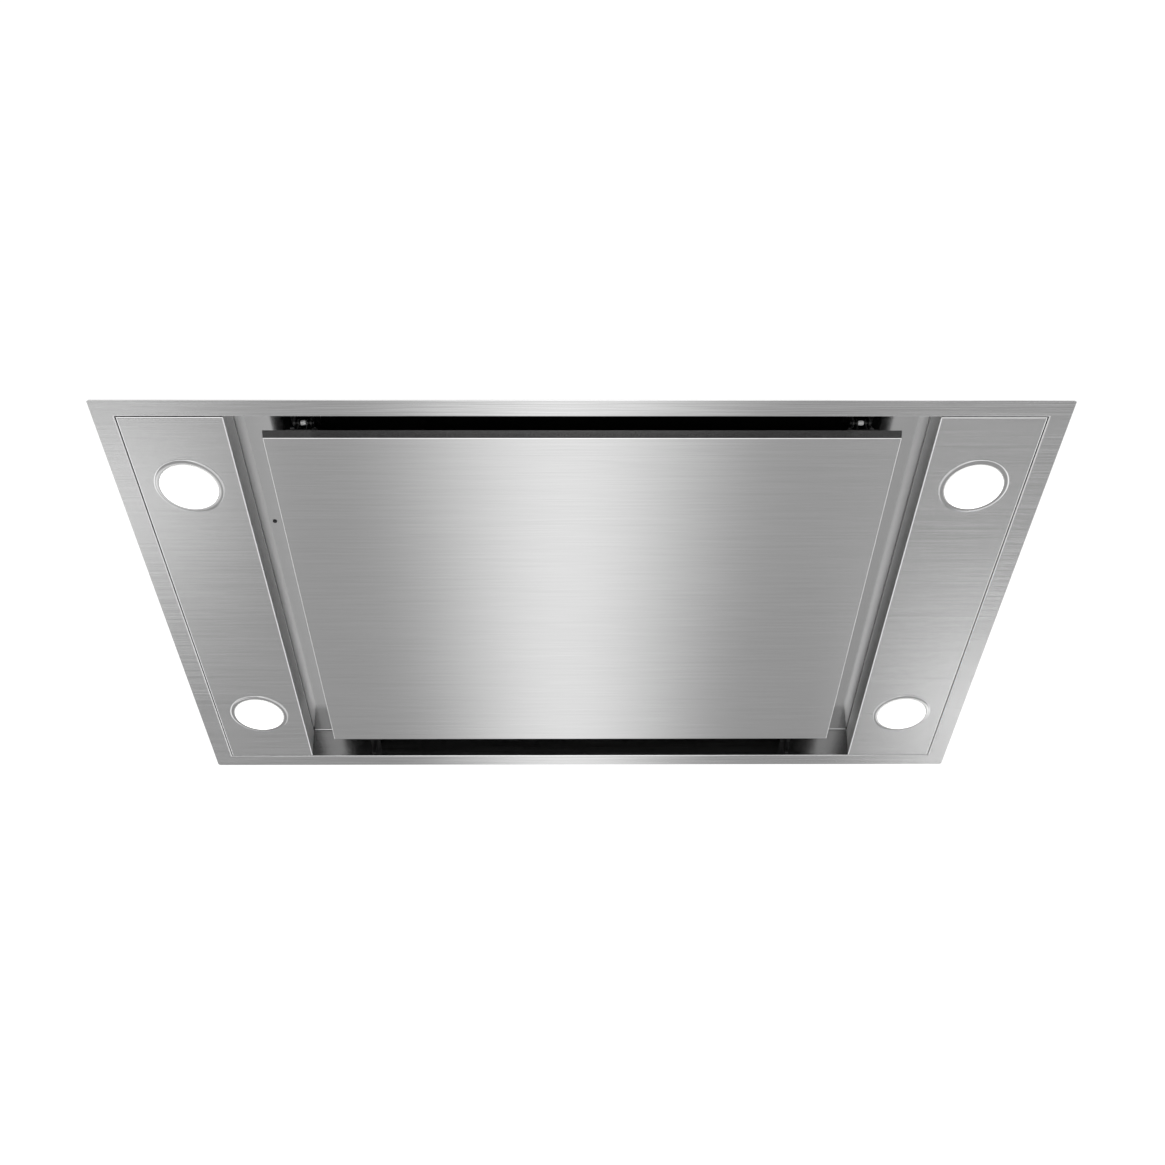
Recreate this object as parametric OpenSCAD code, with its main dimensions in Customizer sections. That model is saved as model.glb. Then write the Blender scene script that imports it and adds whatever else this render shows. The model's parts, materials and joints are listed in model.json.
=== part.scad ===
// Ceiling range hood with a drop-down centre panel and perimeter air slots.
// X runs along the long side, the hinged edge of the centre panel is at -Y, and Z points up.
// Z = 0 is the lowest face of the lamp lenses. Lengths are in millimetres.

/* [Trim frame] */
// Width of the trim frame over its rim
frame_w = 900; // [860:10:1100]
// Depth of the trim frame over its rim
frame_d = 570; // [550:10:680]
// Width of the rim at the left and right
rim_side = 20.6; // [16:0.2:26]
// Width of the rim at the near and far edges
rim_end = 19; // [16:0.2:26]
// Corner radius of the rim in plan
rim_corner_r = 3; // [1.5:0.5:8]
// Thickness of the visible steel sheet
sheet_t = 1.2; // [1:0.1:1.6]
// Outer radius of a softened sheet edge
edge_r = 0.8; // [0.4:0.1:0.9]
// Height of the frame's upstand over the rim's underside
upstand_h = 64; // [58:1:80]

/* [Lamp panels] */
// Width of the flat face of each lamp panel
lamp_panel_w = 97.4; // [90:0.2:104]
// Gap between a lamp panel and the trim frame
reveal = 2; // [1:0.1:3]
// Height of the short folds along a lamp panel's outer edges
outer_fold_h = 12; // [6:1:20]
// Outward lean of a lamp panel's inner wall over its height
wall_lean = 4; // [1:0.5:8]
// Width of the lip at the top of the inner wall
wall_lip_w = 18; // [12:1:26]

/* [Lamps] */
// Radius of a lens
lens_r = 28.2; // [24:0.2:30]
// How far the lens stands below the lamp panel
lens_proud = 3; // [1.5:0.1:5]
// Outer radius of a bezel
bezel_r = 33.7; // [32:0.1:38]
// Thickness of a bezel's rim
bezel_t = 1.4; // [0.8:0.1:1.4]
// Distance of a lamp's centre from its panel's outer edge
lamp_side_inset = 47.8; // [44:0.2:50]
// Distance of a lamp's centre from its panel's near or far end
lamp_end_inset = 83.6; // [60:0.2:110]
// Height of a lamp body over its panel
lamp_body_h = 27; // [18:1:32]
// Number of cooling fins on a lamp body
lamp_fins = 16; // [8:2:24]

/* [Recess and centre panel] */
// Height of the recess ceiling over the rim's underside
recess_h = 40; // [38:1:50]
// Gap between the centre panel and a lamp panel
side_slot = 31.5; // [26:0.5:40]
// Gap between the centre panel and the near or far wall
end_slot = 29; // [28.5:0.5:36]
// Height of the centre panel's underside over the rim's underside
panel_raise = 4; // [2:0.5:6]
// Thickness of the centre panel
panel_t = 12; // [9:0.5:13]
// Sheet thickness of the centre panel's tray and backing
panel_sheet_t = 1; // [0.8:0.1:1.5]
// Radius of the receiver window
window_r = 2.1; // [1.5:0.1:3.5]

/* [Panel hinges and catches] */
// Distance of a hinge's centre from the panel's side
hinge_inset = 33.5; // [26:0.5:60]
// Drop of the hinge axis below the recess ceiling
hinge_drop = 12; // [10:0.5:13]
// Radius of a hinge pin
hinge_pin_r = 1.5; // [1.2:0.1:2]
// Outer radius of a hinge bush
bush_r = 2.9; // [2.6:0.1:3.4]
// Distance of a catch's centre from the panel's side
catch_inset = 43.5; // [30:0.5:60]

/* [Grease filters] */
// Distance of a filter's outer side from the lamp panel's inner wall
filter_side = 53; // [40:1:70]
// Distance of a filter's ends from the near and far walls
filter_end = 67; // [62:1:85]
// Thickness of a filter
filter_t = 9; // [8:0.5:12]
// Spacing of the bars of a filter's mesh core
mesh_pitch = 14; // [10:1:20]
// Travel of a filter's latch
latch_travel = 6.5; // [5:0.5:8]

/* [Casings] */
// Sheet thickness of the casings
casing_t = 1; // [0.8:0.1:1.5]
// Height of the lower casing
plenum_h = 59; // [50:1:80]
// Width of the upper casing
box_w = 400; // [390:5:440]
// Depth of the upper casing
box_d = 350; // [330:5:370]
// Height of the upper casing
box_h = 190; // [186:1:220]
// Radius of the hanger bolt holes
hanger_hole_r = 4.25; // [3:0.05:5]

/* [Blower] */
// Outer radius of the impeller wheel
wheel_r = 73; // [68:0.5:75]
// Height of the impeller wheel
wheel_h = 100; // [90:1:102]
// Number of blades on the wheel
blades = 36; // [24:2:44]
// Radius of the blower's inlets
inlet_r = 60; // [54:0.5:62]
// Height of the blower's scroll over both shells
scroll_h = 110; // [108:1:116]
// Wall thickness of the scroll
scroll_t = 2; // [1.6:0.1:2.5]
// Radius of the motor
motor_r = 44; // [38:0.5:47]
// Radius of the motor shaft
shaft_r = 4; // [3:0.1:5]

/* [Outlet] */
// Outer radius of the outlet collar, which the duct slides over
collar_r = 74.5; // [73:0.1:76]
// Wall thickness of the collar
collar_t = 2; // [1.8:0.1:2.5]
// Length of the collar beyond its flange
collar_l = 60; // [45:1:75]
// Radius of the damper rod
rod_r = 2; // [1.5:0.1:2.2]

/* [Electrics] */
// Width of the control box
control_w = 150; // [130:1:160]
// Depth of the control box
control_d = 200; // [160:1:220]
// Height of the control box with its cover
control_h = 45; // [42:1:60]
// Bore radius of the cable gland
gland_bore_r = 5.5; // [4:0.1:6.5]

/* [Hidden] */

// Fineness of curves
$fn = 96;
// Overrun of every cut
cut = 1;
// Clearance between sheets and boxes that slide into each other
fit = 0.2;
// Clearance between pieces that move past each other
gap = 0.3;
// Radial clearance of a running fit
run = 0.05;
// Number of facets in a softened edge
edge_steps = 4;
left = -1;
right = 1;
near = -1;
far = 1;

// Levels
face_z = lens_proud;
ceiling_z = face_z + recess_h;
casing_z = ceiling_z + sheet_t;
box_z = casing_z + plenum_h;
top_z = box_z + box_h;
outlet_z = box_z + box_h / 2;

// Plan of the trim frame's opening and the lamp panels
in_x = frame_w / 2 - rim_side;
in_y = frame_d / 2 - rim_end;
lamp_out_x = in_x - reveal;
lamp_in_x = lamp_out_x - lamp_panel_w;
lamp_end_y = in_y - reveal;
lamp_x = lamp_out_x - lamp_side_inset;
lamp_y = lamp_end_y - lamp_end_inset;

// Lamps
lens_gap = 0.3;
lens_edge_r = 0.8;
bezel_seat_r = lens_r + lens_gap;
bezel_edge_share = 0.9;
bezel_edge_r = bezel_edge_share * bezel_t;
bezel_wall = 1;
body_r = lens_r + bezel_wall;
fin_depth = 4;
body_core_r = body_r - fin_depth;
fin_t = 1.6;
fin_inset = 0.6;
hole_play = 0.6;
hole_r = body_r + hole_play;
neck_step = 1.5;
neck_r = bezel_seat_r - neck_step;
clip_w = 8;
clip_t = 0.8;
clip_rise = 13;
clip_reach = 14;
clip_foot = 5;

// Centre panel
panel_hw = lamp_in_x - side_slot;
panel_hd = in_y - end_slot;
panel_z = face_z + panel_raise;
panel_top = panel_z + panel_t;

// Panel hinges
hinge_x = panel_hw - hinge_inset;
hinge_edge = 1;
hinge_y = -panel_hd + hinge_edge;
hinge_z = ceiling_z - hinge_drop;
strap_t = 1.5;
ear_t = 1.2;
leaf_w = 30;
leaf_d = 14;
leaf_ear_r = 3.6;
leaf_ear_in = 3.6;
bracket_w = 28;
bracket_d = 16;
bracket_ear_r = 4.5;
bracket_ear_in = 7;
pin_head_r = 2.4;
pin_head_t = 1.2;
bush_half = leaf_ear_in - gap;
leaf_screw_x = 10;
leaf_screw_y = 5;

// Screws
screw_r = 1.5;
screw_head_r = 2.6;
screw_head_t = 1.8;
casing_screw_r = 2;
casing_screw_head_r = 3.8;
casing_screw_head_t = 2.4;
screw_l = 5;

// Catches
catch_x = panel_hw - catch_inset;
catch_edge = 9;
catch_y = panel_hd - catch_edge;
striker_r = 7;
striker_t = 1.5;
magnet_r = 6;
magnet_t = 3;
arm_w = 12;
arm_t = 1.5;
rib_w = 4;
rib_t = 2;
rib_low = 4;

// Receiver window
window_inset_x = 15;
window_share = -0.36;
window_x = -(lamp_in_x + wall_lean - window_inset_x);
window_y = window_share * in_y;
window_body_r = 5;
window_body_h = 8;

// Grease filters
filter_play = 1;
filter_bridge = 16;
filter_w = lamp_in_x - filter_side - filter_bridge / 2 - filter_play;
filter_d = 2 * (in_y - filter_end);
filter_x = filter_bridge / 2 + filter_play + filter_w / 2;
filter_drop = 2;
filter_z = ceiling_z - filter_drop;
channel_t = 1;
channel_w = 8;
mesh_bar = 3;
lug_w = 22;
lug_l = 6;
lug_t = 2;
lug_share = 0.33;
pocket_w = 44;
pocket_d = 29;
latch_w = 20;
latch_t = 2;
latch_hold = 5.5;
latch_body_d = 12;
grip_w = 22;
grip_t = 3;
grip_drop = 8;
latch_back = 9;
grip_y = latch_back - filter_d / 2;

// Casings
flange_w = 14;
box_flange_w = 12;
box_opening_inset = 12;
casing_hx = in_x - fit;
casing_hy = in_y - fit;

// Hangers
hanger_side = 44.4;
hanger_end = 42;
hanger_x = in_x - hanger_side;
hanger_y = in_y - hanger_end;
hanger_h = 22;
hanger_bridge = 32;
hanger_foot = 12;
hanger_d = 36;
hanger_t = 2.5;

// Blower
tongue_angle = 60;
tongue_gap = 7;
scroll_growth = 45;
scroll_step = 6;
scroll_min_r = wheel_r + tongue_gap;
scroll_max_r = scroll_min_r + scroll_growth;
duct_in_x = scroll_min_r * cos(tongue_angle);
blower_x = -(duct_in_x + scroll_max_r) / 2;
blower_y_share = -0.07;
blower_y = blower_y_share * box_d;
duct_end_y = box_d / 2 - casing_t - blower_y;
scroll_z = outlet_z - scroll_h / 2;
mouth_t = 3;
mouth_margin = 16;
post_r = 6;
post_radius_share = 1.06;
wheel_z = outlet_z - wheel_h / 2;
wheel_ring_w = 7;
wheel_ring_t = 2;
blade_t = 1.2;
blade_w = 14;
blade_inset = 0.6;
blade_sweep = 9;
blade_steps = 4;
disc_t = 2.5;
hub_r = 12;
hub_h = 12;
disc_drop = 5;
disc_z = outlet_z - disc_t - disc_drop;
motor_gap = 1;
motor_z = outlet_z + motor_gap;
grommet_h = 4;
motor_top = scroll_z + scroll_h + grommet_h;
motor_cap = 12;
shaft_top = motor_top - motor_cap;
shaft_play = 1;
motor_bore_top = shaft_top + shaft_play;
shaft_nut_r = 7;
shaft_nut_t = 4;
grommet_r = 6;
grommet_margin = 10;
grommet_radius = inlet_r + grommet_margin;
spider_t = 2.5;
spider_arm_w = 16;
spider_swell = 1;
spider_end_r = spider_arm_w / 2 + spider_swell;
spider_inset = 10;
spider_r = motor_r - spider_inset;
guard_t = 2;
guard_bar = 2.5;
guard_rings = 3;

// Outlet
collar_in_r = collar_r - collar_t;
collar_flange = 172;
collar_flange_t = 2;
collar_y = box_d / 2;
collar_screw_edge = 8;
collar_screw = collar_flange / 2 - collar_screw_edge;
damper_set = 24;
damper_y = collar_y + collar_flange_t + damper_set;
flap_t = 1.2;
flap_play = 2.5;
flap_r = collar_in_r - flap_play;
knuckle_wall = 1.6;
knuckle_r = rod_r + knuckle_wall;
knuckle_play = 0.6;
knuckle_clear_r = knuckle_r + knuckle_play;
knuckles = 6;
knuckle_l = 19;
knuckle_zone = 60;
stop_w = 6;
stop_t = 2;
stop_z = damper_y - collar_y - flap_t / 2 - gap - stop_t;
rod_seat = 1;

// Electrics
control_x = (box_w / 2 + box_flange_w + in_x) / 2;
control_wall = 2;
board_t = 1.6;
board_play = 3;
standoff_h = 6;
standoff_r = 3.5;
gland_r = 9;
gland_l = 14;
gland_nut_r = 11;
gland_nut_t = 5;
gland_x_share = 0.25;
gland_x = gland_x_share * control_w;
gland_rise = control_h / 2;
driver_w = 60;
driver_d = 180;
driver_h = 32;
driver_edge = 3;
driver_lug = 10;
driver_lug_t = 2;
relay_size = 16;
relay_pitch_share = 1.5;
transformer_w = 38;
transformer_d = 46;
transformer_h = 26;

// Point at a radius and an angle
function polar(r, a) = [r * cos(a), r * sin(a)];
// Points of a quarter circle round a centre, from one angle to the next quarter
function quarter(centre, r, from) =
    [for (k = [0 : edge_steps]) centre + polar(r, from + 90 * k / edge_steps)];
// Profile, centred on its width, whose two lower corners are rounded
function soft_profile(w, h, r) = concat(
    quarter([r - w / 2, r], r, 180),
    quarter([w / 2 - r, r], r, 270),
    [[w / 2, h], [-w / 2, h]]
);
// Radius of the scroll's inside at an angle
function scroll_r(a) = scroll_min_r + scroll_growth * (a - tongue_angle) / (360 - tongue_angle);

// Block centred in plan, standing on z, with all four lower edges rounded
module soft_block(w, d, h, r, z) {
    translate([0, 0, z])
        intersection() {
            rotate([90, 0, 0])
                linear_extrude(height = d, center = true)
                    polygon(soft_profile(w, h, r));
            rotate([90, 0, 90])
                linear_extrude(height = w, center = true)
                    polygon(soft_profile(d, h, r));
        }
}
// Box centred in plan, standing on z
module block(w, d, h, z) {
    translate([-w / 2, -d / 2, z])
        cube([w, d, h]);
}
// Upright cylinder standing on z
module post(r, h, z) {
    translate([0, 0, z])
        cylinder(r = r, h = h);
}
// Flat plate with rounded plan corners, standing on z
module round_plate(w, d, r, h, z) {
    translate([0, 0, z])
        linear_extrude(height = h)
            union() {
                square([w - 2 * r, d], center = true);
                square([w, d - 2 * r], center = true);
                for (sx = [left, right])
                    for (sy = [near, far])
                        translate([sx * (w / 2 - r), sy * (d / 2 - r)])
                            circle(r = r);
            }
}
// Places what follows at each lamp of the hood
module at_lamp(sx, sy) {
    translate([sx * lamp_x, sy * lamp_y, face_z])
        children();
}
// Screw with its head's underside on z = 0 and its shank below
module screw(shank_r, head_r, head_t, shank_l) {
    cylinder(r = head_r, h = head_t);
    post(shank_r, shank_l, -shank_l);
}
// Places what follows at each screw of the upper casing's flange
module at_box_screws() {
    for (s = [near, far])
        for (k = [-1 : 1]) {
            translate([k * box_w / 3, s * (box_d + box_flange_w) / 2, box_z + casing_t])
                children();
        }
    for (s = [left, right])
        translate([s * (box_w + box_flange_w) / 2, 0, box_z + casing_t])
            children();
}
// Places what follows at each screw of the outlet collar, with z along +Y
module at_collar_screws() {
    for (sx = [left, right])
        for (sz = [near, far])
            translate([sx * collar_screw, collar_y + collar_flange_t, outlet_z + sz * collar_screw])
                rotate([-90, 0, 0])
                    children();
}
// Places what follows at each screw of the trim frame, with z pointing outwards
module at_trim_screws() {
    trim_screw_z = (casing_z + casing_t + face_z + upstand_h) / 2;
    for (s = [near, far])
        for (k = [-1 : 1])
            translate([k * in_x * 2 / 3, s * (in_y + sheet_t), trim_screw_z])
                rotate([-s * 90, 0, 0])
                    children();
    for (s = [left, right])
        for (k = [near, far])
            translate([s * (in_x + sheet_t), k * in_y / 2, trim_screw_z])
                rotate([0, s * 90, 0])
                    children();
}
// Places what follows at each screw of the hinge leaves
module at_leaf_screws() {
    for (s = [left, right])
        for (k = [left, right])
            translate([s * hinge_x + k * leaf_screw_x, hinge_y + leaf_screw_y, panel_top + strap_t])
                children();
}

// Flat rim and the upstand that lines the recess
module trim_frame() {
    color([0.72, 0.72, 0.72])
        difference() {
            union() {
                intersection() {
                    soft_block(frame_w, frame_d, sheet_t, edge_r, face_z);
                    round_plate(frame_w, frame_d, rim_corner_r, sheet_t, face_z);
                }
                block(2 * (in_x + sheet_t), 2 * (in_y + sheet_t), upstand_h, face_z);
            }
            block(2 * in_x, 2 * in_y, upstand_h + 2 * cut, face_z - cut);
            at_trim_screws()
                post(casing_screw_r + run, 2 * sheet_t + cut, -2 * sheet_t);
        }
}
// Lamp panel: flat face, short outer folds, and a leaning wall with a lip under the recess ceiling
module lamp_panel(side) {
    outline = concat(
        quarter([edge_r, edge_r], edge_r, 180),
        quarter([lamp_panel_w - edge_r, edge_r], edge_r, 270),
        [
            [lamp_panel_w, outer_fold_h],
            [lamp_panel_w - sheet_t, outer_fold_h],
            [lamp_panel_w - sheet_t, sheet_t],
            [sheet_t, sheet_t],
            [wall_lean + sheet_t, recess_h - sheet_t],
            [wall_lean + wall_lip_w, recess_h - sheet_t],
            [wall_lean + wall_lip_w, recess_h],
            [wall_lean, recess_h]
        ]
    );
    fold_w = lamp_panel_w - 2 * sheet_t;
    color([0.7, 0.7, 0.7])
        difference() {
            union() {
                mirror([side == left ? 1 : 0, 0, 0])
                    translate([lamp_in_x, 0, face_z])
                        rotate([90, 0, 0])
                            linear_extrude(height = 2 * lamp_end_y, center = true)
                                polygon(outline);
                for (sy = [near, far])
                    translate([side * (lamp_in_x + lamp_panel_w / 2), sy * (lamp_end_y - sheet_t / 2), 0])
                        block(fold_w, sheet_t, outer_fold_h - sheet_t, face_z + sheet_t);
            }
            for (sy = [near, far])
                at_lamp(side, sy)
                    post(hole_r, 2 * sheet_t + 2 * cut, -cut);
        }
}
// Bezel: a ring under the lamp panel with a rounded rim, and a neck through the panel
module lamp_bezel(sx, sy) {
    rim = quarter([bezel_r - bezel_edge_r, bezel_edge_r - bezel_t], bezel_edge_r, 270);
    color([0.85, 0.85, 0.85])
        at_lamp(sx, sy)
            rotate_extrude()
                polygon(concat(rim, [
                    [bezel_r, 0],
                    [body_r, 0],
                    [body_r, sheet_t + bezel_t],
                    [neck_r, sheet_t + bezel_t],
                    [neck_r, sheet_t],
                    [bezel_seat_r, sheet_t],
                    [bezel_seat_r, -bezel_t]
                ]));
}
// Lens: a white disc that stands below the bezel, with a rounded edge
module lamp_lens(sx, sy) {
    color([1, 1, 0.98])
        at_lamp(sx, sy)
            rotate_extrude()
                polygon(concat(
                    [[0, -lens_proud]],
                    quarter([lens_r - lens_edge_r, lens_edge_r - lens_proud], lens_edge_r, 270),
                    [[lens_r, sheet_t], [0, sheet_t]]
                ));
}
// Lamp body: a finned can on top of the bezel
module lamp_body(sx, sy) {
    body_z = sheet_t + bezel_t;
    color([0.35, 0.35, 0.36])
        at_lamp(sx, sy)
            union() {
                post(body_r, bezel_t, body_z);
                post(body_core_r, lamp_body_h - bezel_t, body_z + bezel_t);
                for (k = [0 : lamp_fins - 1])
                    rotate([0, 0, 360 * (k + 1 / 2) / lamp_fins])
                        translate([body_core_r - fin_t, -fin_t / 2, body_z + bezel_t])
                            cube([fin_depth - fin_inset + fin_t, fin_t, lamp_body_h - bezel_t]);
            }
}
// Spring clips: two sloping strips that press each lamp against its panel
module lamp_clips() {
    start = body_r + fit;
    end = start + clip_reach;
    color([0.6, 0.6, 0.6])
        for (sx = [left, right])
            for (sy = [near, far])
                for (s = [near, far])
                    at_lamp(sx, sy)
                        rotate([0, 0, s * 90])
                            rotate([90, 0, 0])
                                linear_extrude(height = clip_w, center = true)
                                    polygon([
                                        [start, sheet_t + clip_rise],
                                        [start, sheet_t + clip_rise + clip_foot],
                                        [start + clip_t, sheet_t + clip_rise + clip_foot],
                                        [start + clip_t, sheet_t + clip_rise],
                                        [end, sheet_t + clip_t],
                                        [end + clip_foot, sheet_t + clip_t],
                                        [end + clip_foot, sheet_t],
                                        [end - clip_t, sheet_t]
                                    ]);
}
// Recess ceiling: the sheet over the recess and the lamps, with two filter openings
module recess_ceiling() {
    opening_w = filter_w + 2 * filter_play;
    opening_d = filter_d + 2 * filter_play;
    color([0.66, 0.66, 0.66])
        difference() {
            block(2 * casing_hx, 2 * casing_hy, sheet_t, ceiling_z);
            for (s = [left, right])
                translate([s * filter_x, 0, 0])
                    block(opening_w, opening_d, sheet_t + 2 * cut, ceiling_z - cut);
            translate([window_x, window_y, 0])
                post(window_r + fit, sheet_t + 2 * cut, ceiling_z - cut);
        }
}
// Receiver window: a dark stud through the recess ceiling with its body above
module receiver_window() {
    color([0.05, 0.05, 0.06])
        translate([window_x, window_y, 0])
            union() {
                post(window_r, sheet_t + bezel_t / 2, ceiling_z - bezel_t / 2);
                post(window_body_r, window_body_h, ceiling_z + sheet_t);
            }
}
// Centre panel's tray, open at its top
module panel_skin() {
    hollow_w = 2 * (panel_hw - panel_sheet_t);
    hollow_d = 2 * (panel_hd - panel_sheet_t);
    color([0.72, 0.72, 0.72])
        difference() {
            soft_block(2 * panel_hw, 2 * panel_hd, panel_t, edge_r, panel_z);
            block(hollow_w, hollow_d, panel_t, panel_z + panel_sheet_t);
        }
}
// Backing plate that closes the tray, with the holes of the leaf screws
module panel_backing() {
    color([0.1, 0.1, 0.1])
        difference() {
            block(2 * (panel_hw - panel_sheet_t - fit), 2 * (panel_hd - panel_sheet_t - fit), panel_sheet_t,
                panel_top - panel_sheet_t);
            at_leaf_screws()
                post(screw_r + run, strap_t + panel_sheet_t + cut, -strap_t - panel_sheet_t - cut);
        }
}
// Screws that hold the hinge leaves
module panel_screws() {
    color([0.55, 0.55, 0.55])
        at_leaf_screws()
            screw(screw_r, screw_head_r, screw_head_t, screw_l);
}
// Hinge bracket: a strap under the recess ceiling with two ears that hold the pin
module hinge_bracket(side) {
    color([0.2, 0.2, 0.2])
        translate([side * hinge_x, hinge_y, 0])
            difference() {
                union() {
                    block(bracket_w, bracket_d, strap_t, ceiling_z - strap_t);
                    for (s = [left, right])
                        translate([s * (bracket_ear_in + strap_t / 2), 0, 0]) {
                            block(strap_t, 2 * bracket_ear_r, ceiling_z - hinge_z, hinge_z);
                            translate([-strap_t / 2, 0, hinge_z])
                                rotate([0, 90, 0])
                                    cylinder(r = bracket_ear_r, h = strap_t);
                        }
                }
                translate([-bracket_w / 2, 0, hinge_z])
                    rotate([0, 90, 0])
                        cylinder(r = hinge_pin_r + run, h = bracket_w);
            }
}
// Hinge pin with a head at each end
module hinge_pin(side) {
    pin_half = bracket_ear_in + strap_t + fit;
    color([0.75, 0.75, 0.75])
        translate([side * hinge_x - pin_half - pin_head_t, hinge_y, hinge_z])
            rotate([0, 90, 0])
                union() {
                    cylinder(r = hinge_pin_r, h = 2 * (pin_half + pin_head_t));
                    cylinder(r = pin_head_r, h = pin_head_t);
                    post(pin_head_r, pin_head_t, 2 * pin_half + pin_head_t);
                }
}
// Hinge leaf: a plate on the panel with two ears that turn on the pin
module hinge_leaf(side) {
    color([0.3, 0.3, 0.3])
        translate([side * hinge_x, 0, 0])
            difference() {
                union() {
                    translate([0, leaf_d / 2 - panel_hd, 0])
                        block(leaf_w, leaf_d, strap_t, panel_top);
                    for (s = [left, right])
                        translate([s * (leaf_ear_in + ear_t / 2), hinge_y, 0]) {
                            translate([0, (leaf_ear_r - hinge_edge) / 2, 0])
                                block(ear_t, leaf_ear_r + hinge_edge, hinge_z - panel_top, panel_top);
                            translate([-ear_t / 2, 0, hinge_z])
                                rotate([0, 90, 0])
                                    cylinder(r = leaf_ear_r, h = ear_t);
                        }
                }
                translate([-leaf_w / 2, hinge_y, hinge_z])
                    rotate([0, 90, 0])
                        cylinder(r = hinge_pin_r + run, h = leaf_w);
                for (k = [left, right])
                    translate([k * leaf_screw_x, hinge_y + leaf_screw_y, panel_top])
                        post(screw_r + run, strap_t + 2 * cut, -cut);
            }
}
// White bushes between the leaves' ears
module hinge_bushes() {
    color([0.95, 0.95, 0.93])
        for (side = [left, right])
            translate([side * hinge_x - bush_half, hinge_y, hinge_z])
                rotate([0, 90, 0])
                    difference() {
                        cylinder(r = bush_r, h = 2 * bush_half);
                        post(hinge_pin_r + run, 2 * bush_half + 2 * cut, -cut);
                    }
}
// Magnetic catch: a rib on the far wall, an arm over the panel and a magnet under its end
module catch(side) {
    arm_z = panel_top + striker_t + gap + magnet_t;
    arm_l = in_y - catch_y + magnet_r;
    color([0.6, 0.6, 0.6])
        translate([side * catch_x, 0, 0])
            union() {
                translate([0, in_y - rib_t / 2, 0])
                    block(rib_w, rib_t, arm_z + arm_t - face_z - rib_low, face_z + rib_low);
                translate([0, in_y - arm_l / 2, 0])
                    block(arm_w, arm_l, arm_t, arm_z);
                translate([0, catch_y, 0])
                    post(magnet_r, magnet_t, arm_z - magnet_t);
            }
}
// Steel discs on the panel that the magnets hold
module catch_strikers() {
    color([0.5, 0.5, 0.5])
        for (side = [left, right])
            translate([side * catch_x, catch_y, 0])
                post(striker_r, striker_t, panel_top);
}
// Filter frame: a channel round the mesh core, with two lugs and the pocket of the latch
module filter_frame(side) {
    pocket_y = (pocket_d - filter_d) / 2;
    grip_slot_d = grip_t + latch_travel + 2 * filter_play;
    hollow_t = filter_t - 2 * channel_t;
    hollow_z = filter_z + channel_t;
    window_w = filter_w - 2 * channel_w;
    window_d = filter_d - 2 * channel_w;
    color([0.75, 0.75, 0.76])
        translate([side * filter_x, 0, 0])
            difference() {
                union() {
                    difference() {
                        block(filter_w, filter_d, filter_t, filter_z);
                        block(filter_w - 2 * channel_t, filter_d - 2 * channel_t, hollow_t, hollow_z);
                        block(window_w, window_d, filter_t + 2 * cut, filter_z - cut);
                    }
                    translate([0, pocket_y, 0])
                        difference() {
                            block(pocket_w, pocket_d, filter_t, filter_z);
                            block(pocket_w - 2 * channel_t, pocket_d - 2 * channel_t, hollow_t, hollow_z);
                        }
                    for (s = [left, right])
                        translate([s * lug_share * filter_w, filter_d / 2 + lug_l / 2, 0])
                            block(lug_w, lug_l, lug_t, ceiling_z + sheet_t);
                }
                translate([0, -filter_d / 2, 0])
                    block(latch_w + 2 * gap, 4 * channel_t, latch_t + 2 * gap, ceiling_z + sheet_t);
                translate([0, grip_y + latch_travel / 2, 0])
                    block(grip_w + 2 * gap, grip_slot_d, 2 * channel_t + cut, filter_z - cut);
            }
}
// Filter mesh: two crossed layers of bars, cut away round the latch pocket
module filter_mesh(side) {
    core_w = filter_w - 2 * channel_t - 2 * fit;
    core_d = filter_d - 2 * channel_t - 2 * fit;
    core_t = filter_t - 2 * channel_t - 2 * fit;
    core_z = filter_z + channel_t + fit;
    across = floor((core_w - mesh_bar) / 2 / mesh_pitch);
    along = floor((core_d - mesh_bar) / 2 / mesh_pitch);
    color([0.6, 0.6, 0.62])
        translate([side * filter_x, 0, 0])
            difference() {
                union() {
                    for (k = [-across : across])
                        translate([k * mesh_pitch, 0, 0])
                            block(mesh_bar, core_d, core_t / 2, core_z);
                    for (k = [-along : along])
                        translate([0, k * mesh_pitch, 0])
                            block(core_w, mesh_bar, core_t / 2, core_z + core_t / 2);
                }
                translate([0, pocket_d / 2 - filter_d / 2, 0])
                    block(pocket_w + 2 * fit, pocket_d + 2 * fit, filter_t + 2 * cut, filter_z - cut);
            }
}
// Filter latch: a tongue over the recess ceiling, a block in its pocket and a grip below the filter
module filter_latch(side) {
    block_h = filter_t - 2 * channel_t - 2 * gap;
    tongue_y = -filter_d / 2 - filter_play - latch_hold;
    tongue_l = grip_y - latch_body_d / 2 - tongue_y;
    color([0.25, 0.25, 0.26])
        translate([side * filter_x, 0, 0])
            union() {
                translate([0, tongue_y + tongue_l / 2, 0])
                    block(latch_w, tongue_l, latch_t, ceiling_z + sheet_t + gap);
                translate([0, grip_y, 0])
                    block(latch_w + grip_t, latch_body_d, block_h, filter_z + channel_t + gap);
                translate([0, grip_y, 0])
                    block(grip_w, grip_t, grip_drop + channel_t + gap, filter_z - grip_drop);
            }
}
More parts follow.
